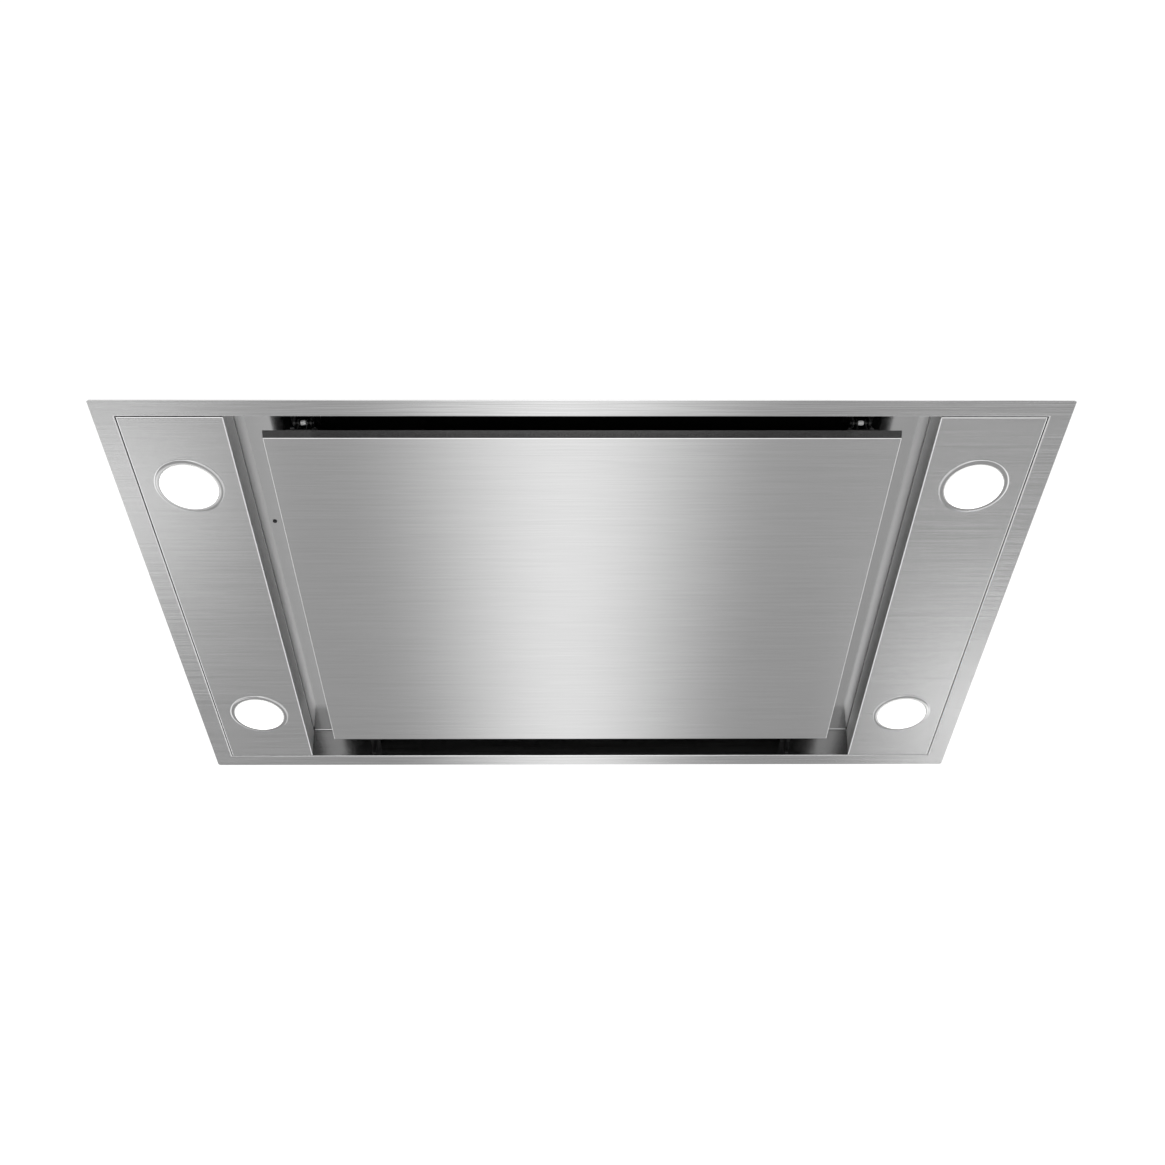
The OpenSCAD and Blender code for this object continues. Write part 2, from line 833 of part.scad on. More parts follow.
// Lower casing: walls, an inward flange on the recess ceiling and a top with the upper casing's opening
module lower_casing() {
    hollow_w = 2 * (casing_hx - casing_t);
    hollow_d = 2 * (casing_hy - casing_t);
    hole_w = 2 * (casing_hx - flange_w);
    hole_d = 2 * (casing_hy - flange_w);
    opening_w = box_w - 2 * box_opening_inset;
    opening_d = box_d - 2 * box_opening_inset;
    color([0.62, 0.64, 0.66])
        difference() {
            block(2 * casing_hx, 2 * casing_hy, plenum_h, casing_z);
            block(hollow_w, hollow_d, plenum_h - 2 * casing_t, casing_z + casing_t);
            block(hole_w, hole_d, 2 * casing_t + cut, casing_z - cut);
            block(opening_w, opening_d, 2 * casing_t + cut, box_z - 2 * casing_t);
            at_trim_screws()
                post(casing_screw_r + run, 3 * sheet_t + 2 * casing_t, -3 * sheet_t - 2 * casing_t);
            at_box_screws()
                post(casing_screw_r + run, 4 * casing_t, -4 * casing_t);
        }
}
// Upper casing: a box round the blower with an outward flange and the outlet's hole
module upper_casing() {
    color([0.64, 0.66, 0.68])
        difference() {
            union() {
                block(box_w, box_d, box_h, box_z);
                block(box_w + 2 * box_flange_w, box_d + 2 * box_flange_w, casing_t, box_z);
            }
            block(box_w - 2 * casing_t, box_d - 2 * casing_t, box_h - casing_t + cut, box_z - cut);
            translate([0, box_d / 2, outlet_z])
                rotate([90, 0, 0])
                    cylinder(r = collar_in_r, h = 4 * casing_t, center = true);
            at_box_screws()
                post(casing_screw_r + run, 4 * casing_t, -2 * casing_t);
            at_collar_screws()
                post(casing_screw_r + run, 2 * screw_l, -2 * screw_l);
        }
}
// Hanger brackets: hat-shaped strips on the lower casing with a hole for a hanging rod
module hanger_brackets() {
    bridge = hanger_bridge / 2;
    edge = bridge + hanger_foot;
    leg = bridge - hanger_t;
    under = hanger_h - hanger_t;
    color([0.5, 0.5, 0.52])
        for (sx = [left, right])
            for (sy = [near, far])
                translate([sx * hanger_x, sy * hanger_y, box_z])
                    difference() {
                        rotate([90, 0, 0])
                            linear_extrude(height = hanger_d, center = true)
                                polygon([
                                    [-edge, 0], [-leg, 0], [-leg, under], [leg, under], [leg, 0], [edge, 0],
                                    [edge, hanger_t], [bridge, hanger_t], [bridge, hanger_h],
                                    [-bridge, hanger_h], [-bridge, hanger_t], [-edge, hanger_t]
                                ]);
                        post(hanger_hole_r, 2 * hanger_h, 0);
                    }
}
// Screws of the upper casing's flange and of the outlet collar
module casing_screws() {
    color([0.55, 0.55, 0.55]) {
        at_box_screws()
            screw(casing_screw_r, casing_screw_head_r, casing_screw_head_t, screw_l);
        at_collar_screws()
            screw(casing_screw_r, casing_screw_head_r, casing_screw_head_t, screw_l + collar_flange_t);
    }
}
// Screws that join the trim frame's upstand to the lower casing
module trim_screws() {
    color([0.55, 0.55, 0.55])
        at_trim_screws()
            screw(casing_screw_r, casing_screw_head_r, casing_screw_head_t, screw_l + sheet_t);
}
// Plan of the scroll, grown by a wall: a spiral round the wheel and a straight duct towards the outlet
module scroll_plan(wall) {
    polygon([for (a = [tongue_angle : scroll_step : 360]) polar(scroll_r(a) + wall, a)]);
    translate([duct_in_x - wall, 0])
        square([scroll_max_r - duct_in_x + 2 * wall, duct_end_y]);
}
// One half of the scroll: a plate with an inlet, the wall and half of the mouth's flange
module scroll_shell(upper) {
    half = scroll_h / 2;
    mouth_half_w = (scroll_max_r - duct_in_x) / 2 + mouth_margin;
    mouth_half_h = half + mouth_margin;
    translate([blower_x, blower_y, outlet_z])
        mirror([0, 0, upper ? 0 : 1])
            difference() {
                union() {
                    linear_extrude(height = half)
                        scroll_plan(scroll_t);
                    translate([-blower_x - mouth_half_w, duct_end_y - mouth_t, 0])
                        cube([2 * mouth_half_w, mouth_t, mouth_half_h]);
                    if (upper)
                        for (a = [tongue_angle : 120 : 360])
                            rotate([0, 0, a + 90])
                                translate([post_radius_share * scroll_min_r, 0, half - scroll_t])
                                    cylinder(r = post_r, h = top_z - casing_t - outlet_z - half + scroll_t);
                }
                translate([0, 0, -cut])
                    linear_extrude(height = half - scroll_t + cut)
                        scroll_plan(0);
                translate([duct_in_x, duct_end_y - mouth_t - cut, -cut])
                    cube([scroll_max_r - duct_in_x, mouth_t + 2 * cut, half - scroll_t + cut]);
                post(inlet_r, 2 * half, 0);
            }
}
// Lower half of the scroll
module scroll_lower() {
    color([0.15, 0.15, 0.16])
        scroll_shell(false);
}
// Upper half of the scroll, with the posts that carry it under the casing's top
module scroll_upper() {
    color([0.17, 0.17, 0.18])
        scroll_shell(true);
}
// Guard under the lower inlet: concentric rings on a cross
module inlet_guard() {
    guard_r = inlet_r + 2 * guard_bar;
    color([0.6, 0.6, 0.6])
        translate([blower_x, blower_y, scroll_z - guard_t])
            union() {
                for (k = [1 : guard_rings])
                    difference() {
                        cylinder(r = guard_r * k / guard_rings, h = guard_t);
                        post(guard_r * k / guard_rings - guard_bar, guard_t + 2 * cut, -cut);
                    }
                block(2 * guard_r - guard_bar, guard_bar, guard_t, 0);
                block(guard_bar, 2 * guard_r - guard_bar, guard_t, 0);
            }
}
// Outline of one blade, swept forwards from the wheel's inside to its outside
function blade_line(grow, steps) = [for (k = steps) polar(
    wheel_r - blade_inset - blade_w * (1 - k / blade_steps),
    blade_sweep * pow(k / blade_steps, 2) + grow
)];
// Impeller wheel: end rings, blades, a disc and a hub with the shaft's bore
module impeller_wheel() {
    blade_angle = blade_t / wheel_r * 180 / PI;
    color([0.75, 0.75, 0.77])
        translate([blower_x, blower_y, 0])
            difference() {
                union() {
                    for (z = [wheel_z, wheel_z + wheel_h - wheel_ring_t])
                        difference() {
                            post(wheel_r, wheel_ring_t, z);
                            post(wheel_r - wheel_ring_w, wheel_ring_t + 2 * cut, z - cut);
                        }
                    for (k = [0 : blades - 1])
                        rotate([0, 0, 360 * k / blades])
                            translate([0, 0, wheel_z])
                                linear_extrude(height = wheel_h)
                                    polygon(concat(
                                        blade_line(0, [0 : blade_steps]),
                                        blade_line(blade_angle, [blade_steps : -1 : 0])
                                    ));
                    post(wheel_r, disc_t, disc_z);
                    post(hub_r, hub_h, disc_z + disc_t - hub_h);
                }
                post(shaft_r, hub_h + 2 * cut, disc_z + disc_t - hub_h - cut);
            }
}
// Motor shaft with the nut under the hub
module motor_shaft() {
    nut_z = disc_z + disc_t - hub_h - shaft_nut_t;
    color([0.7, 0.7, 0.7])
        translate([blower_x, blower_y, 0])
            union() {
                post(shaft_r, shaft_top - nut_z, nut_z);
                translate([0, 0, nut_z])
                    cylinder(r = shaft_nut_r, h = shaft_nut_t, $fn = 6);
            }
}
// Motor: a can inside the wheel with a bore for the shaft
module motor() {
    color([0.3, 0.3, 0.32])
        translate([blower_x, blower_y, 0])
            difference() {
                union() {
                    post(motor_r, motor_top - motor_z - spider_t, motor_z + spider_t);
                    post(motor_r - spider_t, spider_t, motor_z);
                }
                post(shaft_r + run, motor_bore_top - motor_z + cut, motor_z - cut);
            }
}
// Motor bracket: a disc on the motor with three arms that reach the grommets
module motor_bracket() {
    color([0.55, 0.55, 0.57])
        translate([blower_x, blower_y, motor_top])
            linear_extrude(height = spider_t)
                union() {
                    circle(r = spider_r);
                    for (a = [0 : 120 : 240])
                        rotate(a) {
                            translate([0, -spider_arm_w / 2])
                                square([grommet_radius, spider_arm_w]);
                            translate([grommet_radius, 0])
                                circle(r = spider_end_r);
                        }
                }
}
// Rubber grommets between the bracket's arms and the scroll
module motor_grommets() {
    color([0.08, 0.08, 0.08])
        translate([blower_x, blower_y, motor_top - grommet_h])
            for (a = [0 : 120 : 240])
                rotate([0, 0, a])
                    translate([grommet_radius, 0, 0])
                        cylinder(r = grommet_r, h = grommet_h);
}
// Outlet collar: a flange, the tube, and an inner stop for the damper flaps
module outlet_collar() {
    color([0.12, 0.12, 0.13])
        translate([0, collar_y, outlet_z])
            rotate([-90, 0, 0])
                difference() {
                    union() {
                        block(collar_flange, collar_flange, collar_flange_t, 0);
                        post(collar_r, collar_l + collar_flange_t, 0);
                    }
                    difference() {
                        post(collar_in_r, collar_l + collar_flange_t + 2 * cut, -cut);
                        difference() {
                            post(collar_r, stop_t, stop_z);
                            post(collar_in_r - stop_w, stop_t + 2 * cut, stop_z - cut);
                        }
                    }
                    translate([0, 0, damper_y - collar_y])
                        rotate([90, 0, 0])
                            cylinder(r = rod_r + run, h = 2 * (collar_in_r + rod_seat + gap), center = true);
                    for (sx = [left, right])
                        for (sz = [near, far])
                            translate([sx * collar_screw, sz * collar_screw, 0])
                                post(casing_screw_r + run, collar_flange_t + 2 * cut, -cut);
                }
}
// Damper rod: an upright pin across the collar
module damper_rod() {
    color([0.7, 0.7, 0.7])
        translate([0, damper_y, outlet_z])
            cylinder(r = rod_r, h = 2 * (collar_in_r + rod_seat), center = true);
}
// Damper flap: half a disc with every other knuckle on the rod
module damper_flap(side) {
    pitch = 2 * knuckle_zone / knuckles;
    first = side == left ? 0 : 1;
    color([0.14, 0.14, 0.15])
        translate([0, damper_y, outlet_z])
            difference() {
                union() {
                    difference() {
                        rotate([90, 0, 0])
                            cylinder(r = flap_r, h = flap_t, center = true);
                        translate([-side * flap_r, 0, 0])
                            cube([2 * flap_r, 2 * flap_t, 2 * flap_r + 2 * cut], center = true);
                        cylinder(r = knuckle_clear_r, h = 2 * flap_r + 2 * cut, center = true);
                    }
                    for (k = [first : 2 : knuckles - 1])
                        translate([0, 0, (k + 1 / 2) * pitch - knuckle_zone]) {
                            cylinder(r = knuckle_r, h = knuckle_l, center = true);
                            translate([side * knuckle_clear_r / 2 + side * gap, 0, 0])
                                cube([knuckle_clear_r + 2 * gap, flap_t, knuckle_l], center = true);
                        }
                }
                cylinder(r = rod_r + run, h = 2 * flap_r + 2 * cut, center = true);
            }
}
// Places what follows at the corners of the control board
module at_board_corners() {
    for (sx = [left, right])
        for (sy = [near, far])
            translate([sx * (control_w / 2 - control_wall - board_play - 2 * standoff_r),
                       sy * (control_d / 2 - control_wall - board_play - 2 * standoff_r), 0])
                children();
}
// Control box: an open tray on the lower casing with four standoffs
module control_box() {
    tray_h = control_h - control_wall;
    hollow_w = control_w - 2 * control_wall;
    hollow_d = control_d - 2 * control_wall;
    color([0.75, 0.76, 0.74])
        translate([control_x, 0, box_z])
            difference() {
                union() {
                    difference() {
                        block(control_w, control_d, tray_h, 0);
                        block(hollow_w, hollow_d, tray_h, control_wall);
                    }
                    at_board_corners()
                        post(standoff_r, standoff_h, control_wall);
                }
                translate([gland_x, -control_d / 2, gland_rise])
                    rotate([90, 0, 0])
                        cylinder(r = gland_bore_r + gap, h = 4 * control_wall, center = true);
            }
}
// Control board with its transformer and relays
module control_board() {
    board_w = control_w - 2 * control_wall - 2 * board_play;
    board_d = control_d - 2 * control_wall - 2 * board_play;
    color([0.1, 0.35, 0.18])
        translate([control_x, 0, box_z + control_wall + standoff_h])
            union() {
                block(board_w, board_d, board_t, 0);
                translate([-board_w / 4, board_d / 4, 0])
                    block(transformer_w, transformer_d, transformer_h, board_t);
                for (k = [-1 : 2])
                    translate([board_w / 4, k * relay_pitch_share * relay_size, 0])
                        block(relay_size, relay_size, relay_size, board_t);
            }
}
// Cover of the control box, with a rim that drops inside its walls
module control_cover() {
    rim_w = control_w - 2 * control_wall - 2 * fit;
    rim_d = control_d - 2 * control_wall - 2 * fit;
    color([0.78, 0.79, 0.77])
        translate([control_x, 0, box_z + control_h - control_wall])
            difference() {
                union() {
                    block(control_w, control_d, control_wall, 0);
                    block(rim_w, rim_d, control_wall, -control_wall);
                }
                block(rim_w - 2 * control_wall, rim_d - 2 * control_wall, control_wall, -control_wall);
            }
}
// Cable gland in the control box's near wall
module cable_gland() {
    color([0.1, 0.1, 0.1])
        translate([control_x + gland_x, -control_d / 2, box_z + gland_rise])
            rotate([90, 0, 0])
                difference() {
                    union() {
                        cylinder(r = gland_nut_r, h = gland_nut_t, $fn = 6);
                        post(gland_r, gland_l, 0);
                    }
                    post(gland_bore_r, gland_l + 2 * cut, -cut);
                }
}
// Lamp driver: a box with mounting lugs on the lower casing
module led_driver() {
    color([0.9, 0.9, 0.88])
        translate([-control_x, 0, box_z])
            difference() {
                union() {
                    intersection() {
                        round_plate(driver_w, driver_d, driver_edge, driver_h, 0);
                        mirror([0, 0, 1])
                            soft_block(driver_w, driver_d, driver_h, driver_edge, -driver_h);
                    }
                    block(driver_w - 4 * driver_edge, driver_d + 2 * driver_lug, driver_lug_t, 0);
                }
                for (s = [near, far])
                    translate([0, s * (driver_d + driver_lug) / 2, 0])
                        post(screw_r + run, driver_lug_t + 2 * cut, -cut);
            }
}

trim_frame();
lamp_panel(left);  // lamp_panel_left
lamp_panel(right);  // lamp_panel_right
lamp_bezel(left, near);  // lamp_bezel_left_near
lamp_bezel(left, far);  // lamp_bezel_left_far
lamp_bezel(right, near);  // lamp_bezel_right_near
lamp_bezel(right, far);  // lamp_bezel_right_far
lamp_lens(left, near);  // lamp_lens_left_near
lamp_lens(left, far);  // lamp_lens_left_far
lamp_lens(right, near);  // lamp_lens_right_near
lamp_lens(right, far);  // lamp_lens_right_far
lamp_body(left, near);  // lamp_body_left_near
lamp_body(left, far);  // lamp_body_left_far
lamp_body(right, near);  // lamp_body_right_near
lamp_body(right, far);  // lamp_body_right_far
lamp_clips();
recess_ceiling();
receiver_window();
panel_skin();
panel_backing();
panel_screws();
hinge_bracket(left);  // hinge_bracket_left
hinge_bracket(right);  // hinge_bracket_right
hinge_pin(left);  // hinge_pin_left
hinge_pin(right);  // hinge_pin_right
hinge_leaf(left);  // hinge_leaf_left
hinge_leaf(right);  // hinge_leaf_right
hinge_bushes();
catch(left);  // catch_left
catch(right);  // catch_right
catch_strikers();
filter_frame(left);  // filter_frame_left
filter_frame(right);  // filter_frame_right
filter_mesh(left);  // filter_mesh_left
filter_mesh(right);  // filter_mesh_right
filter_latch(left);  // filter_latch_left
filter_latch(right);  // filter_latch_right
lower_casing();
upper_casing();
hanger_brackets();
casing_screws();
trim_screws();
scroll_lower();
scroll_upper();
inlet_guard();
impeller_wheel();
motor_shaft();
motor();
motor_bracket();
motor_grommets();
outlet_collar();
damper_rod();
damper_flap(left);  // damper_flap_left
damper_flap(right);  // damper_flap_right
control_box();
control_board();
control_cover();
cable_gland();
led_driver();
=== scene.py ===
"""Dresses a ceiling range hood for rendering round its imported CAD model.

Lengths are in metres, and MM turns millimetres into them. X runs along the hood's long
side, the centre panel's hinged edge is at -Y, and Z points up into the ceiling.
"""

import json
import logging
import math
from dataclasses import dataclass, replace
from enum import Enum
from functools import cache
from itertools import product
from typing import Iterable, Iterator, Protocol, Sequence

import bmesh
import bpy
from mathutils import Matrix, Vector


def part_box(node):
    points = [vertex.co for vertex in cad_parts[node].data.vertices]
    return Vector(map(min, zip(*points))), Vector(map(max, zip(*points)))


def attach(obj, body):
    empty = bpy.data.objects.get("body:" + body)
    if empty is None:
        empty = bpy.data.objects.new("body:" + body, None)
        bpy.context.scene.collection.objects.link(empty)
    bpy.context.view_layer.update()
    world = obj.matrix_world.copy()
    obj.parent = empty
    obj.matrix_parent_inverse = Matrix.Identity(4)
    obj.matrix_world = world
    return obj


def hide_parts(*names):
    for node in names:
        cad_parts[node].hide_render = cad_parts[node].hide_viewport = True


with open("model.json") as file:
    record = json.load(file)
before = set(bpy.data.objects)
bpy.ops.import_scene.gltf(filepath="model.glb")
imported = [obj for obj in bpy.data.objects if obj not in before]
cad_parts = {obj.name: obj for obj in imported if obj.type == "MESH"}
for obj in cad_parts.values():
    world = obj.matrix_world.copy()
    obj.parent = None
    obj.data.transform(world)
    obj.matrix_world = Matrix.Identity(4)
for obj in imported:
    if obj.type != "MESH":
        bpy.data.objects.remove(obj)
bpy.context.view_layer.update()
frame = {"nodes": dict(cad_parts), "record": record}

MM = 0.001
UP = Vector((0.0, 0.0, 1.0))
SIDES = {"left": -1, "right": 1}
ENDS = {"near": -1, "far": 1}
NEAR = 0.01 * MM
FOLD_SHARP = 12.0
FOLD_TURNS = (32.0, 68.0, 90.0)
log = logging.getLogger("hood")

Triple = tuple[float, float, float]
Point2 = tuple[float, float]
Edges = list[bmesh.types.BMEdge]


# ---- shader maths ----


class Value:
    """One shader socket whose arithmetic adds Math nodes to its graph."""

    def __init__(self, graph: "Graph", socket: bpy.types.NodeSocket | None) -> None:
        self.graph = graph
        self.socket = socket

    def math(self, operation: str, *others: "Value | float") -> "Value":
        """Result of one Math node on this value and those after it."""
        return self.graph.add("Math", {"operation": operation}, dict(enumerate((self, *others))))

    def __add__(self, other: "Value | float") -> "Value":
        """Sum."""
        return self.math("ADD", other)

    def __sub__(self, other: "Value | float") -> "Value":
        """Difference."""
        return self.math("SUBTRACT", other)

    def __rsub__(self, other: float) -> "Value":
        """Difference from a number."""
        return self * -1.0 + other

    def __mul__(self, other: "Value | float") -> "Value":
        """Product."""
        return self.math("MULTIPLY", other)

    def __truediv__(self, other: "Value | float") -> "Value":
        """Quotient."""
        return self.math("DIVIDE", other)

    def __pow__(self, other: float) -> "Value":
        """Power."""
        return self.math("POWER", other)

    __radd__ = __add__
    __rmul__ = __mul__

    def smooth(self, start: float, end: float) -> "Value":
        """Smooth step from 0 at the start to 1 at the end."""
        inputs = {"Value": self, "From Min": start, "From Max": end}
        return self.graph.add("MapRange", {"interpolation_type": "SMOOTHSTEP"}, inputs)


class Graph:
    """A material's nodes, and the one method that adds a node of any type."""

    def __init__(self, name: str) -> None:
        self.material = bpy.data.materials.new(name)
        self.material.use_nodes = True
        self.tree = self.material.node_tree
        self.tree.nodes.clear()

    def add(
        self,
        kind: str,
        settings: dict[str, object] | None = None,
        inputs: dict[str | int, object] | None = None,
        output: str | int = 0,
    ) -> Value:
        """Adds a node.

        Args:
            kind: The node's type without its ShaderNode prefix.
            settings: Properties of the node, set first.
            inputs: Values or numbers of its input sockets.
            output: The output socket that is returned.

        Returns:
            The chosen output.
        """
        node = self.tree.nodes.new("ShaderNode" + kind)
        for key, value in (settings or {}).items():
            setattr(node, key, value)
        for key, value in (inputs or {}).items():
            if isinstance(value, Value):
                self.tree.links.new(value.socket, node.inputs[key])
            else:
                node.inputs[key].default_value = value
        return Value(self, node.outputs[output] if node.outputs else None)

    def place(self, scale: Triple = (1.0, 1.0, 1.0)) -> Value:
        """Object coordinates, stretched along each axis."""
        raw = self.add("TexCoord", output="Object")
        return self.add("Mapping", {}, {"Vector": raw, "Scale": scale})

    def noise(self, scale: Triple | Value, detail: float = 2.0, rough: float = 0.5) -> Value:
        """Noise from 0 to 1.

        Args:
            scale: Waves in a metre along each axis, or coordinates already stretched.
            detail: Number of finer layers.
            rough: Strength of the finer layers.

        Returns:
            The noise.
        """
        vector = scale if isinstance(scale, Value) else self.place(scale)
        inputs = {"Vector": vector, "Scale": 1.0, "Detail": detail, "Roughness": rough}
        return self.add("TexNoise", {}, inputs)

    def part(self, vector: Value, axis: str) -> Value:
        """One part of a vector."""
        return self.add("SeparateXYZ", {}, {"Vector": vector}, output=axis)

    def facing(self, axis: str) -> Value:
        """How far the surface faces along one axis, from 0 to 1, either way."""
        return self.part(self.add("TexCoord", output="Normal"), axis).math("ABSOLUTE")

    def blend(self, share: Value, low: Triple, high: Triple) -> Value:
        """Colour between two others, from the first at 0 to the second at 1."""
        inputs = {0: share, 6: (*low, 1.0), 7: (*high, 1.0)}
        return self.add("Mix", {"data_type": "RGBA"}, inputs, output=2)

    def bump(
        self, height: Value, strength: float, depth: float, under: Value | None = None
    ) -> Value:
        """Normal of a relief.

        Args:
            height: The relief from 0 to 1.
            strength: How much of it is used.
            depth: Its depth in metres.
            under: The normal of a relief under this one.

        Returns:
            The normal.
        """
        inputs = {"Height": height, "Strength": strength, "Distance": depth}
        if under:
            inputs["Normal"] = under
        return self.add("Bump", {}, inputs)

    def finish(self, **inputs: object) -> bpy.types.Material:
        """Adds the surface shader.

        Args:
            inputs: Its sockets, with underscores for spaces.

        Returns:
            The material.
        """
        named = {key.replace("_", " "): value for key, value in inputs.items()}
        shader = self.add("BsdfPrincipled", {}, named)
        self.add("OutputMaterial", {}, {"Surface": shader})
        return self.material


def grey(tone: float) -> Triple:
    """A grey with equal parts."""
    return (tone, tone, tone)


def scaled(colour: Triple, factor: float) -> Triple:
    """A colour made lighter or darker."""
    return tuple(min(1.0, part * factor) for part in colour)


# ---- finishes ----


class Finish(Protocol):
    """Anything that can build a material."""

    name: str

    def build(self) -> bpy.types.Material:
        """Builds the material."""


class Grain(Enum):
    """Waves in a metre along and across a metal's brushing lines."""

    FINE = (14.0, 1500.0)
    BROAD = (7.0, 800.0)


@dataclass(frozen=True)
class BrushedMetal:
    """Sheet with fine lines along X, which draw its reflections out across them.

    Where the sheet is folded up at a side, the lines go up with it. Upright faces along X are
    rougher; side_tone would scale their colour as painted shade, and at 1.0 leaves it as it is.
    Upright faces along Y within the recess get painted shade: their colour is darkened by the
    end factor. A dish is how far the sheet hangs lower for each metre beyond a distance from the
    middle, which its shading alone shows.
    """

    name: str
    tone: float = 0.72
    roughness: float = 0.2
    stretch: float = 0.82
    streaks: float = 0.12
    relief: float = 0.12
    side_rough: float = 0.3
    # colour factors of painted shade: on faces along X, and on faces along Y within the recess
    side_tone: float = 1.0
    painted_end_shade: float = 0.3
    recess: float = 266.6 * MM
    dish: float = 0.0
    dish_from: float = 262.0 * MM

    def lines(self, graph: Graph, grain: Grain, side: Value) -> Value:
        """Noise in lines along X, or along Z on a side.

        Args:
            graph: The graph.
            grain: The lines' size.
            side: 1 where the sheet faces along X.

        Returns:
            The noise.
        """
        along, across = grain.value
        level, upright = (along, across, across), (across, across, along)
        inputs = {0: side, 4: graph.place(level), 5: graph.place(upright)}
        return graph.noise(graph.add("Mix", {"data_type": "VECTOR"}, inputs, output=1), 2.0, 0.6)

    def build(self) -> bpy.types.Material:
        """Builds the material."""
        graph = Graph(self.name)
        side = graph.facing("X").smooth(0.6, 0.8)
        x, y = (graph.part(graph.place(), axis).math("ABSOLUTE") for axis in "XY")
        inside = y.math("LESS_THAN", self.recess)
        # mask of the painted shade: faces along Y that lie within the recess
        end = graph.facing("Y").smooth(0.88, 0.97) * inside
        hair = self.lines(graph, Grain.FINE, side)
        band = self.lines(graph, Grain.BROAD, side)
        lines = hair * 0.6 + band * 0.4
        cloud = graph.noise(grey(5.0), 2.0)
        share = (lines * 0.85 + cloud * 0.15).smooth(0.2, 0.8)
        low, high = 1.0 - self.streaks, 1.0 + self.streaks
        bright = share * (high - low) + low
        # painted shade: faces along X scaled by the side factor, faces along Y in the recess
        # darkened by the end factor
        bright = bright * (1.0 - side * (1.0 - self.side_tone)) * self.tone
        bright = bright * (1.0 - end * (1.0 - self.painted_end_shade))
        rough = (lines - 0.5) * self.streaks + (cloud - 0.5) * 0.02
        normal = graph.bump(hair, self.relief, 0.3 * MM)
        if self.dish:
            beyond = (x - self.dish_from).math("MAXIMUM", 0.0)
            normal = graph.bump(beyond, 1.0, self.dish, normal)
        return graph.finish(
            Base_Color=graph.blend(bright, grey(0.0), grey(1.0)),
            Metallic=1.0,
            Roughness=rough + side * self.side_rough + self.roughness,
            Anisotropic=self.stretch,
            Anisotropic_Rotation=0.25,
            Tangent=graph.add("CombineXYZ", {}, {"X": 1.0, "Y": 0.001, "Z": 0.05}),
            Normal=normal,
        )


@dataclass(frozen=True)
class Galvanised:
    """Zinc-coated sheet with its crystals, some rubbed dull."""

    name: str
    colour: Triple
    crystal: float = 90.0

    def build(self) -> bpy.types.Material:
        """Builds the material."""
        graph = Graph(self.name)
        cells = graph.add(
            "TexVoronoi",
            {"feature": "F1"},
            {"Vector": graph.place(grey(self.crystal)), "Scale": 1.0},
            output="Color",
        )
        tone = graph.add("SeparateColor", {}, {"Color": cells})
        dull = graph.noise(grey(7.0), 4.0, 0.6)
        share = tone * 0.65 + dull * 0.35
        colour = graph.blend(share, scaled(self.colour, 0.82), scaled(self.colour, 1.1))
        return graph.finish(
            Base_Color=colour,
            Metallic=0.9,
            Roughness=share * 0.22 + 0.32,
            Normal=graph.bump(dull * 0.6 + tone * 0.4, 0.06, 0.4 * MM),
        )


@dataclass(frozen=True)
class CastMetal:
    """Dull metal: cast, rolled or coated, with a fine grain and darker blotches.

    The blotches are given by their waves in a metre, their finer layers and those layers'
    strength. They shade the colour between two factors, and spread the roughness.
    """

    name: str
    colour: Triple
    roughness: float = 0.42
    metallic: float = 1.0
    grain: float = 700.0
    relief: float = 0.15
    gloss: float = 0.5
    grit: float = 0.5
    depth: float = 0.15 * MM
    blotches: Triple = (35.0, 3.0, 0.6)
    shades: Point2 = (0.8, 1.12)
    spread: float = 0.16

    def build(self) -> bpy.types.Material:
        """Builds the material."""
        graph = Graph(self.name)
        waves, layers, strength = self.blotches
        blotch = graph.noise(grey(waves), layers, strength)
        fine = graph.noise(grey(self.grain), 2.0, self.grit)
        return graph.finish(
            Base_Color=graph.blend(blotch, *(scaled(self.colour, f) for f in self.shades)),
            Metallic=self.metallic,
            Specular_IOR_Level=self.gloss,
            Roughness=blotch * self.spread + (self.roughness - self.spread / 2),
            Normal=graph.bump(fine, self.relief, self.depth),
        )


@dataclass(frozen=True)
class PolishedMetal(CastMetal):
    """Bright turned metal with faint turning marks and a little haze."""

    grain: float = 900.0
    relief: float = 0.05
    depth: float = 0.1 * MM
    blotches: Triple = (60.0, 3.0, 0.5)
    shades: Point2 = (0.94, 1.04)
    spread: float = 0.08


@dataclass(frozen=True)
class Moulded(CastMetal):
    """Moulded plastic or rubber with a spark-eroded texture and faint handling marks."""

    roughness: float = 0.45
    metallic: float = 0.0
    grain: float = 1500.0
    relief: float = 0.25
    grit: float = 0.6
    depth: float = 0.08 * MM
    blotches: Triple = (28.0, 4.0, 0.65)
    shades: Point2 = (0.9, 1.12)
    spread: float = 0.18


@dataclass(frozen=True)
class LitLens:
    """Frosted lamp lens that glows evenly on its face and less on its side."""

    name: str
    colour: Triple
    strength: float = 1.12
    side: float = 0.22

    def build(self) -> bpy.types.Material:
        """Builds the material."""
        graph = Graph(self.name)
        frost = graph.noise(grey(1200.0), 2.0)
        front = graph.facing("Z").smooth(0.55, 0.92)
        share = front * 0.96 + frost * 0.04
        return graph.finish(
            Base_Color=graph.blend(frost, scaled(self.colour, 0.9), self.colour),
            Roughness=frost * 0.1 + 0.35,
            Emission_Color=graph.blend(share, scaled(self.colour, self.side), self.colour),
            Emission_Strength=self.strength,
        )


